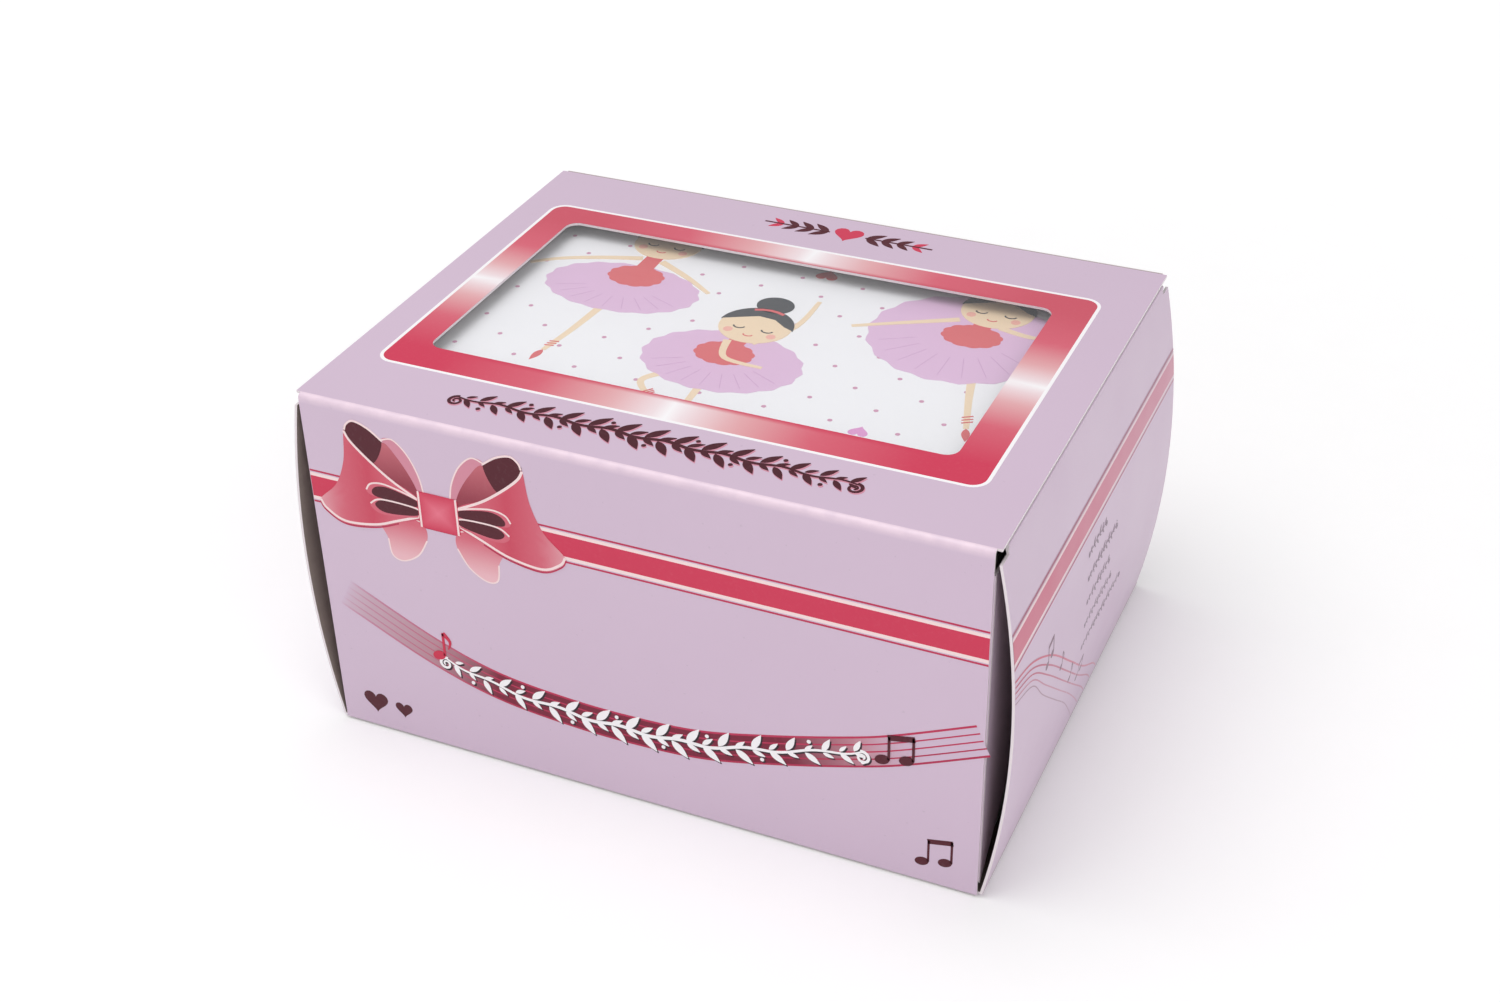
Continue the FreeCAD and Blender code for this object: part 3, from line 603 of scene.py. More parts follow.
def bow(art):
    for side in (-1, 1):
        def half(points, closed=True, side=side):
            return [(BOW_U + side * d, v) for d, v in smooth(points, closed)]

        def edge(points, width, colour, layer):
            art.stroke(half(points, closed=False), width, colour, layer)

        art.blob(half(TAIL), lambda u, v, s: mix(PINK, ink(236, 186, 194), (v - 27) / 9), 1)
        edge(TAIL[3:], 0.35, CREAM, 2)
        art.blob(half(BACK_LOBE), mix(PINK, LILAC, 0.35), 1, centre=(BOW_U + side * 7.6, 10.5))
        edge(BACK_LOBE[:5], 0.35, CREAM, 2)
        art.area(half(LOOP_BACK), lambda u, v: mix(ink(196, 104, 116), ink(150, 60, 76), (v - 8) / 9), 3)
        art.area(half(LOOP_MOUTH), MAROON, 4)
        art.blob(half(LOOP_FACE), lambda u, v, s: ramp(LOOP_SHADES, abs(u - BOW_U)), 5,
                 centre=(BOW_U + side * 17, 22.5))
        for width, colour, layer, points in LOOP_EDGES:
            edge(points, width, colour, layer)
        for outline in (INNER_UPPER, INNER_LOWER):
            art.blob(half(outline), PINK, 8, rings=2)
            inset = [(d + (11.0 - d) * 0.12 - 0.5, v + (22.2 - v) * 0.16) for d, v in outline]
            art.blob(half(inset), MAROON, 9, rings=2)
            edge(outline[:5], 0.4, CREAM, 10)
    width, top, bottom = KNOT
    knot = rounded(BOW_U - width, BOW_U + width, top, bottom, 0.5, 3, 3)
    art.blob(knot, lambda u, v, s: ramp([(0, ink(232, 120, 140)), (1, RED)], s), 11)
    for side in (-1, 1):
        u = BOW_U + side * (width - 0.4)
        art.stroke([(u, top), (u, bottom)], 0.5, CREAM, 12)


SWOOSH = [(6, 50.5), (11, 53), (28, 61), (44, 66), (62, 68), (78, 68.2), (94, 67), (111, 63), (128, 58), (139, 54),
          (156.6, 46)]
SWOOSH_WIDTH = 7.4
SWOOSH_COLOURS = [(0.0, LILAC), (0.08, ink(204, 176, 192)), (0.2, ink(186, 140, 152)), (0.3, STAVE), (0.72, STAVE),
                  (0.82, ink(196, 138, 152)), (0.93, LILAC), (1.0, LILAC)]
LINE_COLOURS = [(0.0, LILAC), (0.12, ink(196, 130, 156)), (0.3, DEEP_PINK), (1.0, DEEP_PINK)]
VINE_FROM, VINE_LENGTH = 0.22, 0.6      # shares of the swoosh's length


def front_stave(art):
    """A dark swoosh with five stave lines, a white vine with its shadow, and notes at both ends."""
    middle = smooth(SWOOSH, steps=8)
    read = path_reader(middle)
    art.stroke(middle, SWOOSH_WIDTH, lambda s: ramp(SWOOSH_COLOURS, s), across=2)
    for k in range(5):
        off = (k / 4 - 0.5) * SWOOSH_WIDTH
        line = []
        for s in range(81):
            (u, v), (du, dv) = read(s / 80)
            line.append((u - dv * off, v + du * off))
        tint = DEEP_PINK if k < 3 else mix(DEEP_PINK, STAVE, 0.5)
        art.stroke(line, 0.5 if k in (0, 4) else 0.34,
                   lambda s, t=tint: mix(ramp(LINE_COLOURS, s), t, 0.4 if s > 0.3 else 0.0), 1)
    vine = [read(VINE_FROM + VINE_LENGTH * s / 60)[0] for s in range(61)]
    flourish(art, path_reader([(u + 0.35, v + 0.4) for u, v in vine]), 8.6, ink(50, 34, 44), 2, leaves=26)
    flourish(art, path_reader(vine), 8.6, WHITE, 6, leaves=26)
    music_note(art, 29.2, 61.6, 5.6, ink(206, 50, 80), 10)
    music_note(art, 135.2, 57.6, 5.6, MAROON, 10, pair=True)


def front_print():
    art = Print("print_front", "carton_cover", "lilac_board", on_front)
    ribbon(art, *RIBBON_ENDS)
    bow(art)
    front_stave(art)
    heart(art, 10.0, 80.5, 6.5, MAROON, 0)
    heart(art, 17.5, 80.9, 4.6, MAROON, 0)
    music_note(art, 144.5, 82.4, 5.4, MAROON, 0, pair=True)
    return art


WINDOW_FRAME = (8.6, 147.6, 19.5, 103.0, 3.2)      # outer edges of the printed frame, and its corner radius
FRAME_SHADES = [(0.0, WHITE), (0.05, ink(240, 222, 226)), (0.2, ink(228, 172, 176)), (0.45, ink(216, 100, 118))]
FILM_OVERLAP = 6.0      # the film is glued this far past the hole on every side
HOLE_R = 3.0


def box_hole():
    """The window hole's edges on the top face, a hair outside the cut edge."""
    back_off = FILM_OVERLAP - 0.02
    return (FILM_LOW.x + back_off + CARTON_X, FILM_HIGH.x - back_off + CARTON_X,
            CARTON_Y - FILM_HIGH.y + back_off, CARTON_Y - FILM_LOW.y - back_off)


def frame_colour(u, v):
    """Red at the corners, fading to a white gleam at the middle of each side."""
    u0, u1, v0, v1, _ = WINDOW_FRAME
    _, _, w0, w1 = box_hole()
    at, low, high = (v, v0, v1) if w0 <= v <= w1 else (u, u0, u1)
    share = abs(at - (low + high) / 2) / ((high - low) / 2)
    return ramp(FRAME_SHADES + [(0.8, ink(206, 86, 104) if v < (v0 + v1) / 2 else RED)], share)


def framed_ring(art, outer, inner, colour, layer):
    """A ring between two loops with the same number of points, with rows between so that its colour can change."""
    n, rows = len(outer), 5
    flat = [between(a, b, row / rows) for row in range(rows + 1) for a, b in zip(outer, inner)]
    faces = [[row * n + i, (row + 1) * n + i, (row + 1) * n + (i + 1) % n, row * n + (i + 1) % n]
             for row in range(rows) for i in range(n)]
    art.slab(flat, faces, [list(range(n)), list(range(rows * n, (rows + 1) * n))], [colour(*p) for p in flat], layer)


def top_print():
    """The window's frame, a dark vine with its soft shadow in front of it, and a crest behind it."""
    art = Print("print_top", "carton_cover", "lilac_board", on_top)
    u0, u1, v0, v1, radius = WINDOW_FRAME
    outer = rounded(u0, u1, v0, v1, radius, 40, 8)
    framed_ring(art, outer, rounded(*box_hole(), HOLE_R, 40, 8), frame_colour, 0)
    white = rounded(u0 - 0.8, u1 + 0.8, v0 - 0.8, v1 + 0.8, radius + 0.8, 40, 8)
    framed_ring(art, white, outer, lambda u, v: WHITE, 1)
    for u, v, colour, layer in ((-44.7, 50.1, mix(ink(214, 120, 140), LILAC, 0.3), 0), (-45, 49.7, ink(74, 20, 34), 4)):
        start = (CARTON_X + u, CARTON_Y + v)
        flourish(art, path_reader(straight(start, (start[0] + 90.5, start[1]), 60)), 9.4, colour, layer, leaves=28)
    crest(art, CARTON_X + 2.7, CARTON_Y - 53.2)
    return art


def crest(art, u, v):
    """A heart between two leafy sprigs."""
    heart(art, u, v, 7.4, RED, 1)
    for side in (-1, 1):
        out = 0.0 if side > 0 else pi
        for k in range(4):
            for lean in (-0.62, 0.62):
                leaf(art, (u + side * (4.9 + 3.9 * k), v + 0.4), out + side * lean, 5.2 - 0.4 * k,
                     MAROON if k < 3 else RED, k % 2)
        art.stroke(straight((u + side * 4.6, v + 0.4), (u + side * 21.6, v + 0.4), 12), 0.55, MAROON, 2)


def end_print(name, body, place, mirrored):
    """Ribbon, drifting stave, notes and rows of small vines on an end panel."""
    art = Print(name, body, "lilac_board", place)
    flip = (lambda u: 2 * CARTON_Y - u) if mirrored else (lambda u: u)
    ribbon(art, 0.4, 2 * CARTON_Y - 0.4, lambda s: 0.28 + 0.25 * (1 - s if mirrored else s))
    tones = (RED, DEEP_PINK, DEEP_PINK, mix(DEEP_PINK, LILAC, 0.3), mix(STAVE, LILAC, 0.4))
    for k, tone in enumerate(tones):
        spread = 1.5 * k
        path = [(0.6, 30 + spread * 0.9), (12, 33 + spread), (26 - spread, 41 + spread),
                (42 - 1.6 * spread, 54 + 0.6 * spread), (58 - 2.4 * spread, 67), (74 - 3.2 * spread, 78),
                (82 - 3.4 * spread, 84.6)]
        art.stroke([(flip(u), v) for u, v in smooth(path)], 0.42 - 0.04 * k,
                   lambda s, t=tone: mix(t, LILAC, 0.15 + 0.45 * s))
    for u, v, size, pair in ((22, 41, 3.6, True), (33.5, 49.5, 3.0, False),
                             (43.5, 60, 3.2, False), (52, 66, 3.0, True)):
        music_note(art, flip(u), v, size, mix(MAROON, LILAC, 0.35), 1, pair)
    for row, width in enumerate((13, 22, 17, 20, 30)):
        v = 32 + 6.2 * row
        leafy = path_reader(straight((flip(52), v), (flip(52 + width), v), 20))
        flourish(art, leafy, 3.4, mix(ink(120, 100, 112), LILAC, 0.3), 0, leaves=max(6, width // 2))
    return art


def back_print():
    art = Print("print_back", "carton_base", "lilac_board", on_back)
    ribbon(art, *RIBBON_ENDS)
    heart(art, CARTON_X, 48.0, 16.0, RED, 0)
    heart(art, CARTON_X, 47.6, 11.0, PALE_PINK, 1)
    for side in (-1, 1):
        spray = [(CARTON_X + side * (12 + 44 * s / 40), 50 + 8 * sin(pi * s / 40)) for s in range(41)]
        flourish(art, path_reader(spray), 9.0, MAROON, 0, leaves=16)
    return art


# ------------------------------------------------------------------ the jewellery box's lid paper
def turns(sides):
    return [TAU * k / sides for k in range(sides)]


def wavy(u, v, ru, rv, sides, wave):
    """An ellipse whose radius is multiplied by wave of the angle."""
    return [(u + ru * wave(a) * cos(a), v + rv * wave(a) * sin(a)) for a in turns(sides)]


def dancer_print(art, u, v, scale, pose, layer):
    """A small generic dancer. (u, v) is the middle of the skirt. pose gives the body's places and the limbs."""
    def at(x, y):
        return (u + x * scale, v + y * scale)

    def line(points, width, colour, level):
        wide = width if callable(width) else (lambda s: width)
        art.stroke([at(*p) for p in points], lambda s: scale * wide(s), colour, layer + level)

    def limb(points, w0, w1, colour, level):
        line(smooth(points), lambda s: w0 + (w1 - w0) * s, colour, level)

    def shape(points, colour, level, rings=1):
        art.blob([at(*p) for p in points], colour, layer + level, rings)

    for points in pose["legs"]:
        limb(points, 2.1, 1.2, SKIN, 0)
        tip, before = points[-1], points[-2]
        heading = atan2(tip[1] - before[1], tip[0] - before[0])
        leaf(art, at(*tip), heading, 5.0 * scale, CORAL, layer + 1)
        du, dv = -sin(heading) * 1.1, cos(heading) * 1.1
        for k in range(3):
            x, y = between(tip, before, 0.18 + 0.09 * k)
            line([(x - du, y - dv), (x + du, y + dv + 0.7)], 0.4, CORAL, 2)
    ru, rv = pose["skirt"]
    shape(wavy(0, 0, ru, rv, 72, lambda a: 1 + 0.02 * sin(18 * a)), TUTU, 2, rings=4)
    for k in range(9):
        a = radians(205 + 130 * k / 8)
        line([(0.5 * ru * cos(a), 0.5 * rv * sin(a) + 1), (0.88 * ru * cos(a), 0.88 * rv * sin(a))],
             lambda s: 0.18 + 0.3 * sin(pi * s), TUTU_LINE, 3)
    waist, head, bun = pose["waist"], pose["head"], pose["bun"]
    shape(wavy(*waist, 6.6, 4.8, 60, lambda a: 1 + 0.07 * abs(sin(6 * a))), CORAL, 4, rings=4)
    hu, hv = head
    chest = between(waist, head, 0.5)
    limb([waist, chest, (hu, hv - 4)], 4.4, 4.0, CORAL, 5)
    limb([(chest[0], chest[1] + 1.5), head], 2.6, 2.2, SKIN, 4)
    for points in pose["arms"]:
        limb(points, 1.9, 1.0, SKIN, 6)
    shape(ellipse(hu, hv, 8.4, 7.9), SKIN, 7)
    cap = ellipse(0, 0.3, 8.7, 8.2, 30, 0.05, pi - 0.1) + [(-5.0, 2.6), (-1.0, 4.6), (3.0, 4.2), (6.2, 1.8)]
    art.area([at(hu + x, hv + y) for x, y in cap], HAIR, layer + 8)
    shape(ellipse(*bun, 4.4, 3.8), HAIR, 8)
    line([(bun[0] + x, bun[1] - 2.7 - 0.07 * x * x) for x in (-3.6, -1.8, 0, 1.8, 3.6)], 0.9, CORAL, 9)
    for side in (-1, 1):
        line(ellipse(hu + side * 3.4, hv - 1.2, 1.3, 0.9, 8, pi, pi), 0.4, HAIR, 9)
        art.dot(*at(hu + side * 5.2, hv - 3.4), 1.1 * scale, ink(240, 178, 164), layer + 8)
    line(ellipse(hu, hv - 4.2, 1.1, 0.7, 6, pi, pi), 0.36, CORAL, 9)


SEEN_SCALE = 1.0173      # the lid lies a little under the window, so its print is larger than it looks from above
LID_SHIFT = (-2.97, 6.51)
LID_DOT_R = 0.58
LID_MARGIN = 1.5         # no dot stands nearer to the lid's edge


def seen(u, v):
    """A place on the lid that shows through the window at (u, v)."""
    return (u * SEEN_SCALE + LID_SHIFT[0], v * SEEN_SCALE + LID_SHIFT[1])


ARABESQUE = dict(skirt=(19, 11.4), waist=(0.6, 6.2), head=(0.6, 24.0), bun=(0.6, 31.0),
                 legs=[[(0, -8), (-1.2, -22), (-2.8, -33)]],
                 arms=[[(-2, 15), (-11, 12), (-20, 8), (-26, 3.5)], [(3, 15), (12, 10), (20, 4.5)]])
CURTSY = dict(skirt=(18.4, 13.0), waist=(-0.8, 3.2), head=(0.6, 17.0), bun=(1.0, 27.6),
              legs=[[(-8, -8), (-12.5, -14), (-7.5, -20)], [(0, -8), (0.4, -16), (0.8, -26)]],
              arms=[[(3, 9.5), (9, 20), (9.6, 33)], [(-2.6, 9.0), (0, 1.5), (9.5, 0.2)]])
SPIN = dict(skirt=(21.5, 19.6), waist=(1.4, 1.6), head=(3.2, 14.6), bun=(4.2, 24.4),
            legs=[[(7, -14), (9.5, -24), (13.0, -36)]],
            arms=[[(-3.6, 8), (-14, 2.4), (-25, -3.6)], [(6, 7.5), (15, 6), (21, 11)]])


def lid_print():
    """The dots and dancers on the lid's paper."""
    art = Print("print_lid", "lid", "case_paper", on_lid)
    for row in range(-4, 5):
        for column in range(-6, 7):
            for shift in (0, 0.5):
                u = (column + shift) * DOTS_ACROSS - 1.6
                v = (LID_LOW.y + LID_HIGH.y) / 2 + (row + shift) * DOTS_UP
                if abs(u) < LID_HIGH.x - LID_MARGIN and LID_LOW.y + LID_MARGIN < v < LID_HIGH.y - LID_MARGIN:
                    art.dot(u, v, LID_DOT_R, DOT_PINK, 0, 10)
    for place, pose in (((-35.7, 8.2), ARABESQUE), ((0.0, -14.6), CURTSY), ((45.4, 14.3), SPIN)):
        dancer_print(art, *seen(*place), SEEN_SCALE, pose, 1)
    for place, size, colour in (((6.3, 31.2), 5.4, CORAL), ((38.4, -31.0), 4.4, ink(222, 150, 206)),
                                ((-66.0, -20.0), 5.0, CORAL), ((30.0, -38.0), 5.0, CORAL)):
        heart(art, *seen(*place), size, colour, 1)
    return art


# ------------------------------------------------------------------ solid pieces
def loft(rings, closed_ends=True):
    """Points and faces of a skin over rings that all have the same number of points."""
    n = len(rings[0])
    faces = [[r * n + i, r * n + (i + 1) % n, (r + 1) * n + (i + 1) % n, (r + 1) * n + i]
             for r in range(len(rings) - 1) for i in range(n)]
    if closed_ends:
        faces += [list(range(n)), [(len(rings) - 1) * n + i for i in reversed(range(n))]]
    return [p for ring in rings for p in ring], faces


def level_ring(r, z, sides, y=0.0, deeper=1.0):
    """A ring of points at height z, stretched by deeper along y."""
    return [Vector((r * cos(a), y + r * deeper * sin(a), z)) for a in turns(sides)]


def lathe(profile, sides, y=0.0):
    """A closed turned shape. The profile is (radius, height) from bottom to top."""
    return loft([level_ring(r, z, sides, y) for r, z in profile])


def tube(path, radius, sides):
    """A round tube along 3-D points, with one radius or a radius of its share. Its ends are drawn in."""
    size = radius if callable(radius) else (lambda share: radius)
    up = Vector((0.13, 0.31, 0.94))      # any direction that no path follows
    path = [Vector(p) for p in path]
    last = len(path) - 1
    rings = []
    for i, point in enumerate(path):
        along = (path[min(i + 1, last)] - path[max(i - 1, 0)]).normalized()
        side = along.cross(up).normalized()
        other = along.cross(side)
        rings.append([point + (side * cos(a) + other * sin(a)) * size(i / last) for a in turns(sides)])
    caps = []
    for ring in (rings[0], rings[-1]):
        centre = sum(ring, Vector()) / sides
        caps.append([centre + (p - centre) * 0.5 for p in ring])
    return loft([caps[0]] + rings + [caps[1]])


def merged(shapes):
    points, faces = [], []
    for new_points, new_faces in shapes:
        start = len(points)
        points += list(new_points)
        faces += [[start + i for i in face] for face in new_faces]
    return points, faces


PAD_EDGE = 1.4      # how far a pad's rim drops
PAD_CELLS = 30


def pad_shape(low, high, crown, channels, seed=3):
    """A soft pad that fills a box: crowned on top, pulled in round its rim, with sewn channels across it."""
    length, depth = high.x - low.x, high.y - low.y
    nu, nv = PAD_CELLS, max(6, round(PAD_CELLS * depth / length))
    points = []
    for j in range(nv + 1):
        for i in range(nu + 1):
            a, b = i / nu, j / nv
            rim = min(a * length, (1 - a) * length, b * depth, (1 - b) * depth)
            fall = PAD_EDGE * max(0.0, 1 - rim / (2.2 * PAD_EDGE)) ** 2
            swell = crown * (4 * a * (1 - a)) ** 0.6 * (4 * b * (1 - b)) ** 0.6
            groove = 0.55 * exp(-((((b * channels) % 1.0) - 0.5) / 0.07) ** 2)
            wrinkle = 0.12 * noise.noise(Vector((a * 6, b * 7, seed)))
            points.append(Vector((low.x + length * a, low.y + depth * b,
                                  high.z - crown + swell - fall - groove + wrinkle)))
    top, row = len(points), nu + 1
    points += [Vector((p.x, p.y, low.z + 0.02)) for p in points]
    faces = []
    for a in [j * row + i for j in range(nv) for i in range(nu)]:
        faces.append([a, a + 1, a + row + 1, a + row])
        faces.append([top + a, top + a + row, top + a + row + 1, top + a + 1])
    border = list(range(nu)) + [j * row + nu for j in range(nv)]
    border += [nv * row + i for i in range(nu, 0, -1)] + [j * row for j in range(nv, 0, -1)]
    faces += [[a, top + a, top + b, b] for a, b in zip(border, border[1:] + border[:1])]
    return points, faces


ROLLS, ROLL_GAP = 5, 0.4      # the satin rolls that rings stand between
PAD_GAP = 0.3                 # from a pad to its divider


def ring_roll(low, high, middle_y, radius, wave):
    """One satin roll along x, pinched at its ends, faintly wrinkled, and pressed flat enough to reach the floor."""
    middle_z = high.z - radius
    rings = []
    for a in [s / 36 for s in range(37)]:
        pinch = 1 - 0.10 * abs(2 * a - 1) ** 6
        ring = []
        for angle in turns(28):
            r = radius * pinch * (1 + 0.015 * sin(9 * TAU * a + wave) * sin(angle))
            drop = r if sin(angle) >= 0 else middle_z - low.z - 0.05
            ring.append(Vector((low.x + (high.x - low.x) * a, middle_y + r * cos(angle), middle_z + drop * sin(angle))))
        rings.append(ring)
    return loft(rings)


def soft_goods(flock, satin):
    """The two wells' cushions and the ring rolls."""
    low, high = box_mm("well_pads")
    divider_low, divider_high = box_mm("well_dividers")
    left = pad_shape(low, Vector((divider_low.x - PAD_GAP, high.y, high.z)), 1.0, 6)
    corner = Vector((divider_high.x + PAD_GAP, box_mm("ring_roll_divider")[1].y + PAD_GAP, low.z))
    right = pad_shape(corner, high, 0.8, 3, seed=8)
    roll_low, roll_high = box_mm("ring_rolls")
    pitch = (roll_high.y - roll_low.y + ROLL_GAP) / ROLLS
    radius = (pitch - ROLL_GAP) / 2
    rolls = merged([ring_roll(roll_low, roll_high, roll_low.y + k * pitch + radius, radius, 3 * k)
                    for k in range(ROLLS)])
    for name, shape, material, node, fill in (("left_well_cushion", left, flock, "well_pads", 0.6),
                                              ("right_well_cushion", right, flock, "well_pads", 0.6),
                                              ("satin_ring_rolls", rolls, satin, "ring_rolls", 0.8)):
        piece = add_piece(name, *shape, material, "carton_base", "pink_flock")
        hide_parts(node)


def dancer(skin, cloth, hair, net):
    """A small moulded dancer with a net tutu, made standing on the origin and then laid towards the front."""
    low, high = box_mm("dancer_spring")
    ball = 1.6      # from the spring's top down to the point it bends about
    pivot = Vector(((low.x + high.x) / 2, (low.y + high.y) / 2, high.z - ball))
    turn = Matrix.Rotation(radians(90), 4, "X")

    def piece(name, shape, material, slot="white_plastic"):
        points, faces = shape
        return add_piece(name, [turn @ Vector(p) + pivot for p in points], faces, material, "ballerina", slot)

    socket = lathe([(0.2, 1.7), (1.2, 1.75), (1.3, 2.4), (0.9, 3.0), (0.8, 4.2), (0.2, 4.3)], 20)
    torso = lathe([(0.6, 16.0), (1.9, 16.6), (2.35, 17.6), (1.75, 20.2), (1.7, 21.4), (2.25, 24.2), (2.3, 25.6),
                   (1.9, 26.9)], 28)
    shoulders = lathe([(0.6, 26.2), (2.0, 26.5), (2.3, 27.3), (1.3, 28.4), (0.85, 29.3), (0.8, 30.8), (0.3, 30.9)], 28)
    limbs, straps, shoes, brows = [], [], [], []
    for side in (-1, 1):
        leg = [(side * (0.25 + 0.95 * k / 12), 0.1 * side, 3.6 + 13.6 * k / 12) for k in range(13)]
        limbs.append(tube(leg, lambda s: 0.42 + 0.55 * sin(pi * min(1.0, s * 1.2) * 0.55) + 0.35 * s, 14))
        arm = []
        for k in range(19):
            a = radians(-68 + 143 * k / 18)
            arm.append((side * (0.1 + 6.7 * cos(a)), -0.5 * sin(radians(170 * k / 18)), 33.4 + 7.0 * sin(a)))
        limbs.append(tube(arm, lambda s: 0.78 - 0.34 * s, 12))
        straps.append(tube([(side * 1.5, -1.3, 25.6), (side * 1.45, -0.9, 27.4), (side * 1.3, 0.5, 27.8),
                            (side * 1.4, 1.4, 26.4)], 0.22, 8))
        shoes.append(tube([(0.25 * side, 0.1 * side, 3.4), (0.33 * side, 0.1 * side, 5.0),
                           (0.38 * side, 0.1 * side, 6.2)], lambda s: 0.55 + 0.42 * sin(1.9 * s), 12))
        brows.append(tube([(side * 0.65, -2.66, 33.5), (side * 1.05, -2.62, 33.32), (side * 1.45, -2.4, 33.5)],
                          0.11, 6))
    head = []
    for k in range(15):
        a = -pi / 2 + pi * k / 14
        r = max(0.08, 2.75 * cos(a) * (1 - 0.10 * (1 - sin(a))))
        head.append(level_ring(r, 33.3 + 3.15 * sin(a), 28, deeper=1.02))
    nose = tube([(0, -2.6, 33.4), (0, -2.95, 32.9), (0, -2.7, 32.6)], lambda s: 0.12 + 0.14 * sin(pi * s), 8)
    figure = piece("dancer_skin", merged([socket, shoulders, loft(head), nose] + limbs), skin)
    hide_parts("ballerina_figure")
    piece("dancer_bodice", merged([torso] + straps + shoes), cloth)
    cap = []
    for k in range(9):
        a = radians(5 + 85 * k / 8)
        r = max(0.05, 2.95 * cos(a) * 0.98)
        ring = []
        for b in turns(32):
            strand = 1 + 0.018 * sin(14 * b)
            lift = 0.9 * max(0.0, -sin(b)) * (1 - k / 8)
            ring.append(Vector((r * strand * cos(b), r * 1.03 * strand * sin(b) + 0.1, 33.45 + 3.25 * sin(a) + lift)))
        cap.append(ring)
    bun = lathe([(0.3, 35.9), (1.1, 36.2), (1.55, 37.0), (1.6, 37.5), (1.2, 38.4), (0.3, 38.8)], 24, y=0.7)
    piece("dancer_hair", merged([loft(cap), bun] + brows), hair)
    rng = Random(11)
    tutu = piece("dancer_tutu", merged([skirt_layer(level, rng.random() * TAU) for level in range(4)]), net, "tulle")
    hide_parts("ballerina_tutu")
    piece("dancer_waistband", lathe([(2.3, 16.7), (2.55, 17.0), (2.6, 17.9), (2.3, 18.3)], 32), cloth)


WAIST_R, NET_THICK = 2.2, 0.09


def skirt_layer(level, phase):
    """One gathered layer of the tutu: a thin closed skin that droops and ripples more towards its edge."""
    reach, gathers = 11.4 - 0.7 * level, 17 + 2 * level
    shells = []
    for offset in (0.0, -NET_THICK):
        rows = []
        for share in [step / 12 for step in range(13)]:
            middle = 17.9 - 0.6 * level - 1.2 * share ** 1.5 + offset
            ring = []
            for a in turns(180):
                r = WAIST_R + (reach - WAIST_R) * share + 0.18 * share ** 6 * sin(3 * gathers * a)
                ring.append(Vector((r * cos(a), r * sin(a), middle + 0.62 * share ** 1.4 * sin(gathers * a + phase))))
            rows.append(ring)
        shells.append(rows)
    return loft(shells[0] + shells[1][::-1] + [shells[0][0]], closed_ends=False)


def mirror_frame(material):
    """A narrow scalloped card frame that holds the mirror."""
    low, high = box_mm("mirror")
    middle, half = (low + high) / 2, (high - low) / 2
    squareness = 0.16      # the power that turns an ellipse into a rounded rectangle
    rings = []
    for inset, z in ((-2.6, 1.45), (-2.6, -0.35), (1.6, -0.75), (2.2, -0.3), (2.2, -0.02)):
        ring = []
        for a in turns(160):
            out = (0.5 * abs(sin(20 * a)) if inset < 0 else 0.0) - inset
            ring.append(Vector((middle.x + (half.x + out) * copysign(abs(cos(a)) ** squareness, cos(a)),
                                middle.y + (half.y + out) * copysign(abs(sin(a)) ** squareness, sin(a)), low.z + z)))
        rings.append(ring)
    add_piece("mirror_frame", *loft(rings + [rings[0]], closed_ends=False), material, "lid", "pink_flock", shaded=False)


# ------------------------------------------------------------------ looks of the CAD nodes
def dress(material, *names):
    for name in names:
        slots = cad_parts[name].data.materials
        slots.clear()
        slots.append(material)


def dress_everything():
    dress(board_material("board_top", (0, 0, 1)), "carton_top_panel")
    dress(board_material("board_front", (0, -0.9, 0.45), fold=True), "carton_front_panel")
    dress(board_material("board_back", (0, 1, 0)), "carton_back_panel")
    dress(board_material("board_bottom", (0, 0, -1)), "carton_bottom_panel")
    dress(board_material("board_tab", (0, -1, 0)), "carton_front_tab")
    for end, out in (("right", 1), ("left", -1)):
        dress(board_material("board_" + end, (out, 0, 0)),
              f"carton_{end}_end_panel", f"dust_flap_{end}_front", f"dust_flap_{end}_back")
    dress(film_material(), "window_film")
    dress(paper_material("lid_paper", dots=False), "lid_top_board")
    dress(paper_material("case_paper"),
          "case_front_wall", "case_back_wall", "case_left_wall", "case_right_wall", "lid_rim_boards")
    dress(paper_material("well_paper", dots=False, colour=ink(236, 200, 214)),
          "well_dividers", "ring_roll_divider", "case_floor")
    dress(flock_material("deck_flock", ink(214, 96, 128)), "deck", "lid_lining")
    dress(flock_material("felt", ink(120, 118, 124)), "felt_feet")
    dress(mirror_material(), "mirror")
    dress(metal_material("rolled_brass", ink(214, 176, 106), 0.28),
          "pinned_drum", "drum_wheel", "drum_crown_gear", "barrel_gear", "spring_barrel", "governor_wheel",
          "front_bearing_plate", "rear_bearing_plate", "governor_bridge", "spindle_bushing", "winding_key",
          "spindle_cup")
    dress(metal_material("drawn_steel", ink(196, 198, 202), 0.3),
          "drum_arbor", "drum_pinion", "comb_screws", "governor_arbor", "fly_arbor", "winding_arbor", "ratchet_wheel",
          "click_spring", "stop_wire", "spindle_shaft", "dancer_spring", "hinge_case_leaves", "hinge_lid_leaves",
          "hinge_pins")
    dress(metal_material("ground_comb_steel", ink(186, 190, 196), 0.22, (0.2, 4, 1)), "comb")
    dress(metal_material("blued_mainspring", ink(92, 104, 132), 0.3, (1, 0.2, 1)), "mainspring")
    dress(metal_material("cast_bedplate", ink(150, 146, 138), 0.55, stain=0.5), "movement_bedplate")
    dress(plain_material("white_nylon", ink(236, 232, 222), 0.4), "spindle_pin_wheel", "fly_blades")


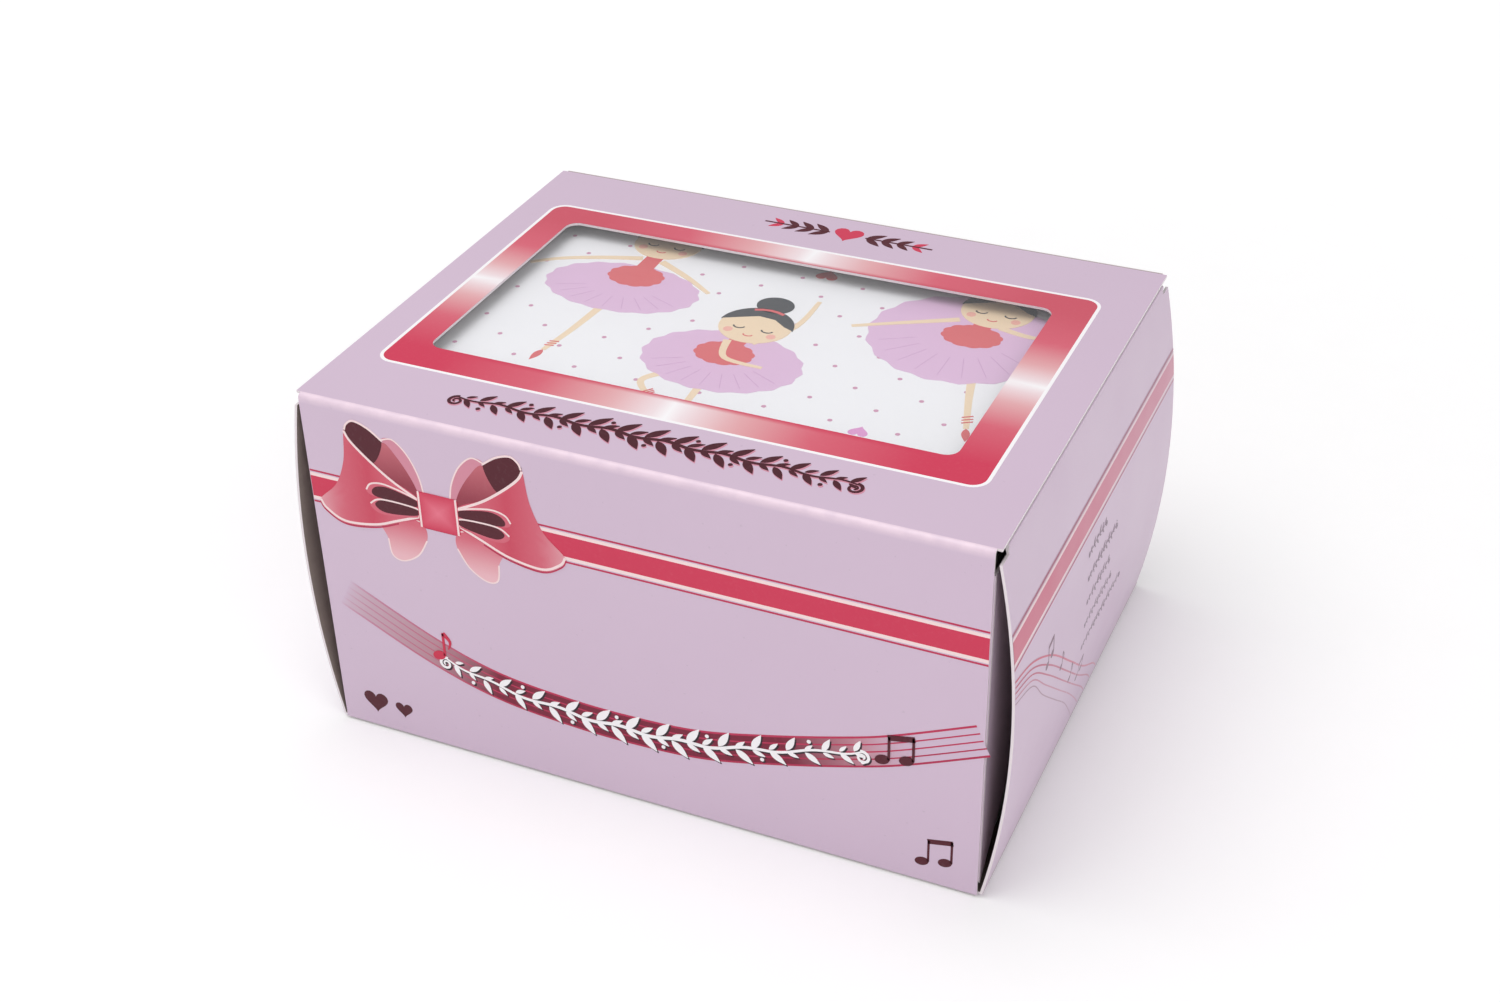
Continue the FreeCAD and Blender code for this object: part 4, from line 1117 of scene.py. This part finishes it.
# ------------------------------------------------------------------ stage, light and camera
CAMERA_AT = Vector((171.7, -376.6, 313.6)) * MM
CAMERA_AZIMUTH, CAMERA_DOWN, CAMERA_ROLL = radians(24.58), radians(33.2), radians(-1.27)
LENS, SENSOR = 50.7, 36.0
FLOOR_REACH, FLOOR_Z = 30.0, -0.0004      # metres, as are the lamps' places and sizes
GLOW_FROM, GLOW_TO = 0.1, 1.1             # distances from the middle between which the floor's glow grows
LAMP_AIM = Vector((0, 0, 0.04))
LAMPS = (("key", (-0.2, -0.16, 1.05), 0.9, 5.9), ("fill", (0.9, -0.7, 0.72), 0.8, 2.4))      # place, size, watts


def add_to_scene(name, data):
    made = bpy.data.objects.new(name, data)
    bpy.context.scene.collection.objects.link(made)
    return made


def studio():
    """White paper under the box, an even surround and two soft lamps."""
    white = plain_look("studio_floor", ink(252, 252, 252), 0.9, mottling=0.004, grain=200.0, depth=0.00001)
    # the lamps fade away from the middle, so the paper's own glow makes up for it
    distance = white.node("ShaderNodeVectorMath", white.place(), operation="LENGTH").outputs["Value"]
    white.set("Emission Color", (1.0, 1.0, 1.0, 1.0))
    white.set("Emission Strength", white.ranged(distance, GLOW_FROM, GLOW_TO, 0.07, 0.52))
    mesh = bpy.data.meshes.new("studio_floor")
    corners = [(x * FLOOR_REACH, y * FLOOR_REACH, FLOOR_Z) for x, y in ((-1, -1), (1, -1), (1, 1), (-1, 1))]
    mesh.from_pydata(corners, [], [[0, 1, 2, 3]])
    mesh.materials.append(white.material)
    add_to_scene("studio_floor", mesh)
    world = bpy.data.worlds.new("studio")
    bpy.context.scene.world = world
    world.use_nodes = True
    background = world.node_tree.nodes["Background"]
    background.inputs["Color"].default_value = (1.0, 0.995, 1.0, 1.0)
    background.inputs["Strength"].default_value = 0.5
    for name, place, size, power in LAMPS:
        lamp = bpy.data.lights.new(name, "AREA")
        lamp.energy, lamp.size = power, size
        stand = add_to_scene(name, lamp)
        stand.location = place
        stand.rotation_euler = (LAMP_AIM - Vector(place)).to_track_quat("-Z", "Y").to_euler()
    bpy.context.scene.view_settings.view_transform = "Standard"


def camera():
    """The photo's point of view."""
    lens = bpy.data.cameras.new("photo_view")
    lens.lens, lens.sensor_width = LENS, SENSOR
    lens.clip_start, lens.clip_end = 0.01, 20
    az, down, roll = CAMERA_AZIMUTH, CAMERA_DOWN, CAMERA_ROLL
    forward = Vector((-sin(az) * cos(down), cos(az) * cos(down), -sin(down)))
    right = Vector((cos(az), sin(az), 0))
    up = right.cross(forward)
    right, up = right * cos(roll) + up * sin(roll), up * cos(roll) - right * sin(roll)
    turn = Matrix((right, up, -forward)).transposed().to_4x4()
    eye = add_to_scene("photo_view", lens)
    eye.matrix_world = Matrix.Translation(CAMERA_AT) @ turn
    bpy.context.scene.camera = eye


camera()
studio()
dress_everything()
PRINTING_INK = print_material()
for art in (front_print(), top_print(), end_print("print_right_end", "right_end", on_right, False),
            end_print("print_left_end", "left_end", on_left, True), back_print(), lid_print()):
    art.make(PRINTING_INK)
soft_goods(flock_material("pad_flock", ink(222, 120, 148)), flock_material("roll_satin", ink(232, 150, 172)))
dancer(plain_material("moulded_skin", ink(238, 206, 176), 0.38, coat=0.3),
       plain_material("painted_bodice", ink(206, 74, 92), 0.4, coat=0.3),
       plain_material("painted_hair", ink(46, 38, 38), 0.35, coat=0.3), net_material())
mirror_frame(plain_material("gilt_card", ink(222, 186, 120), 0.35))
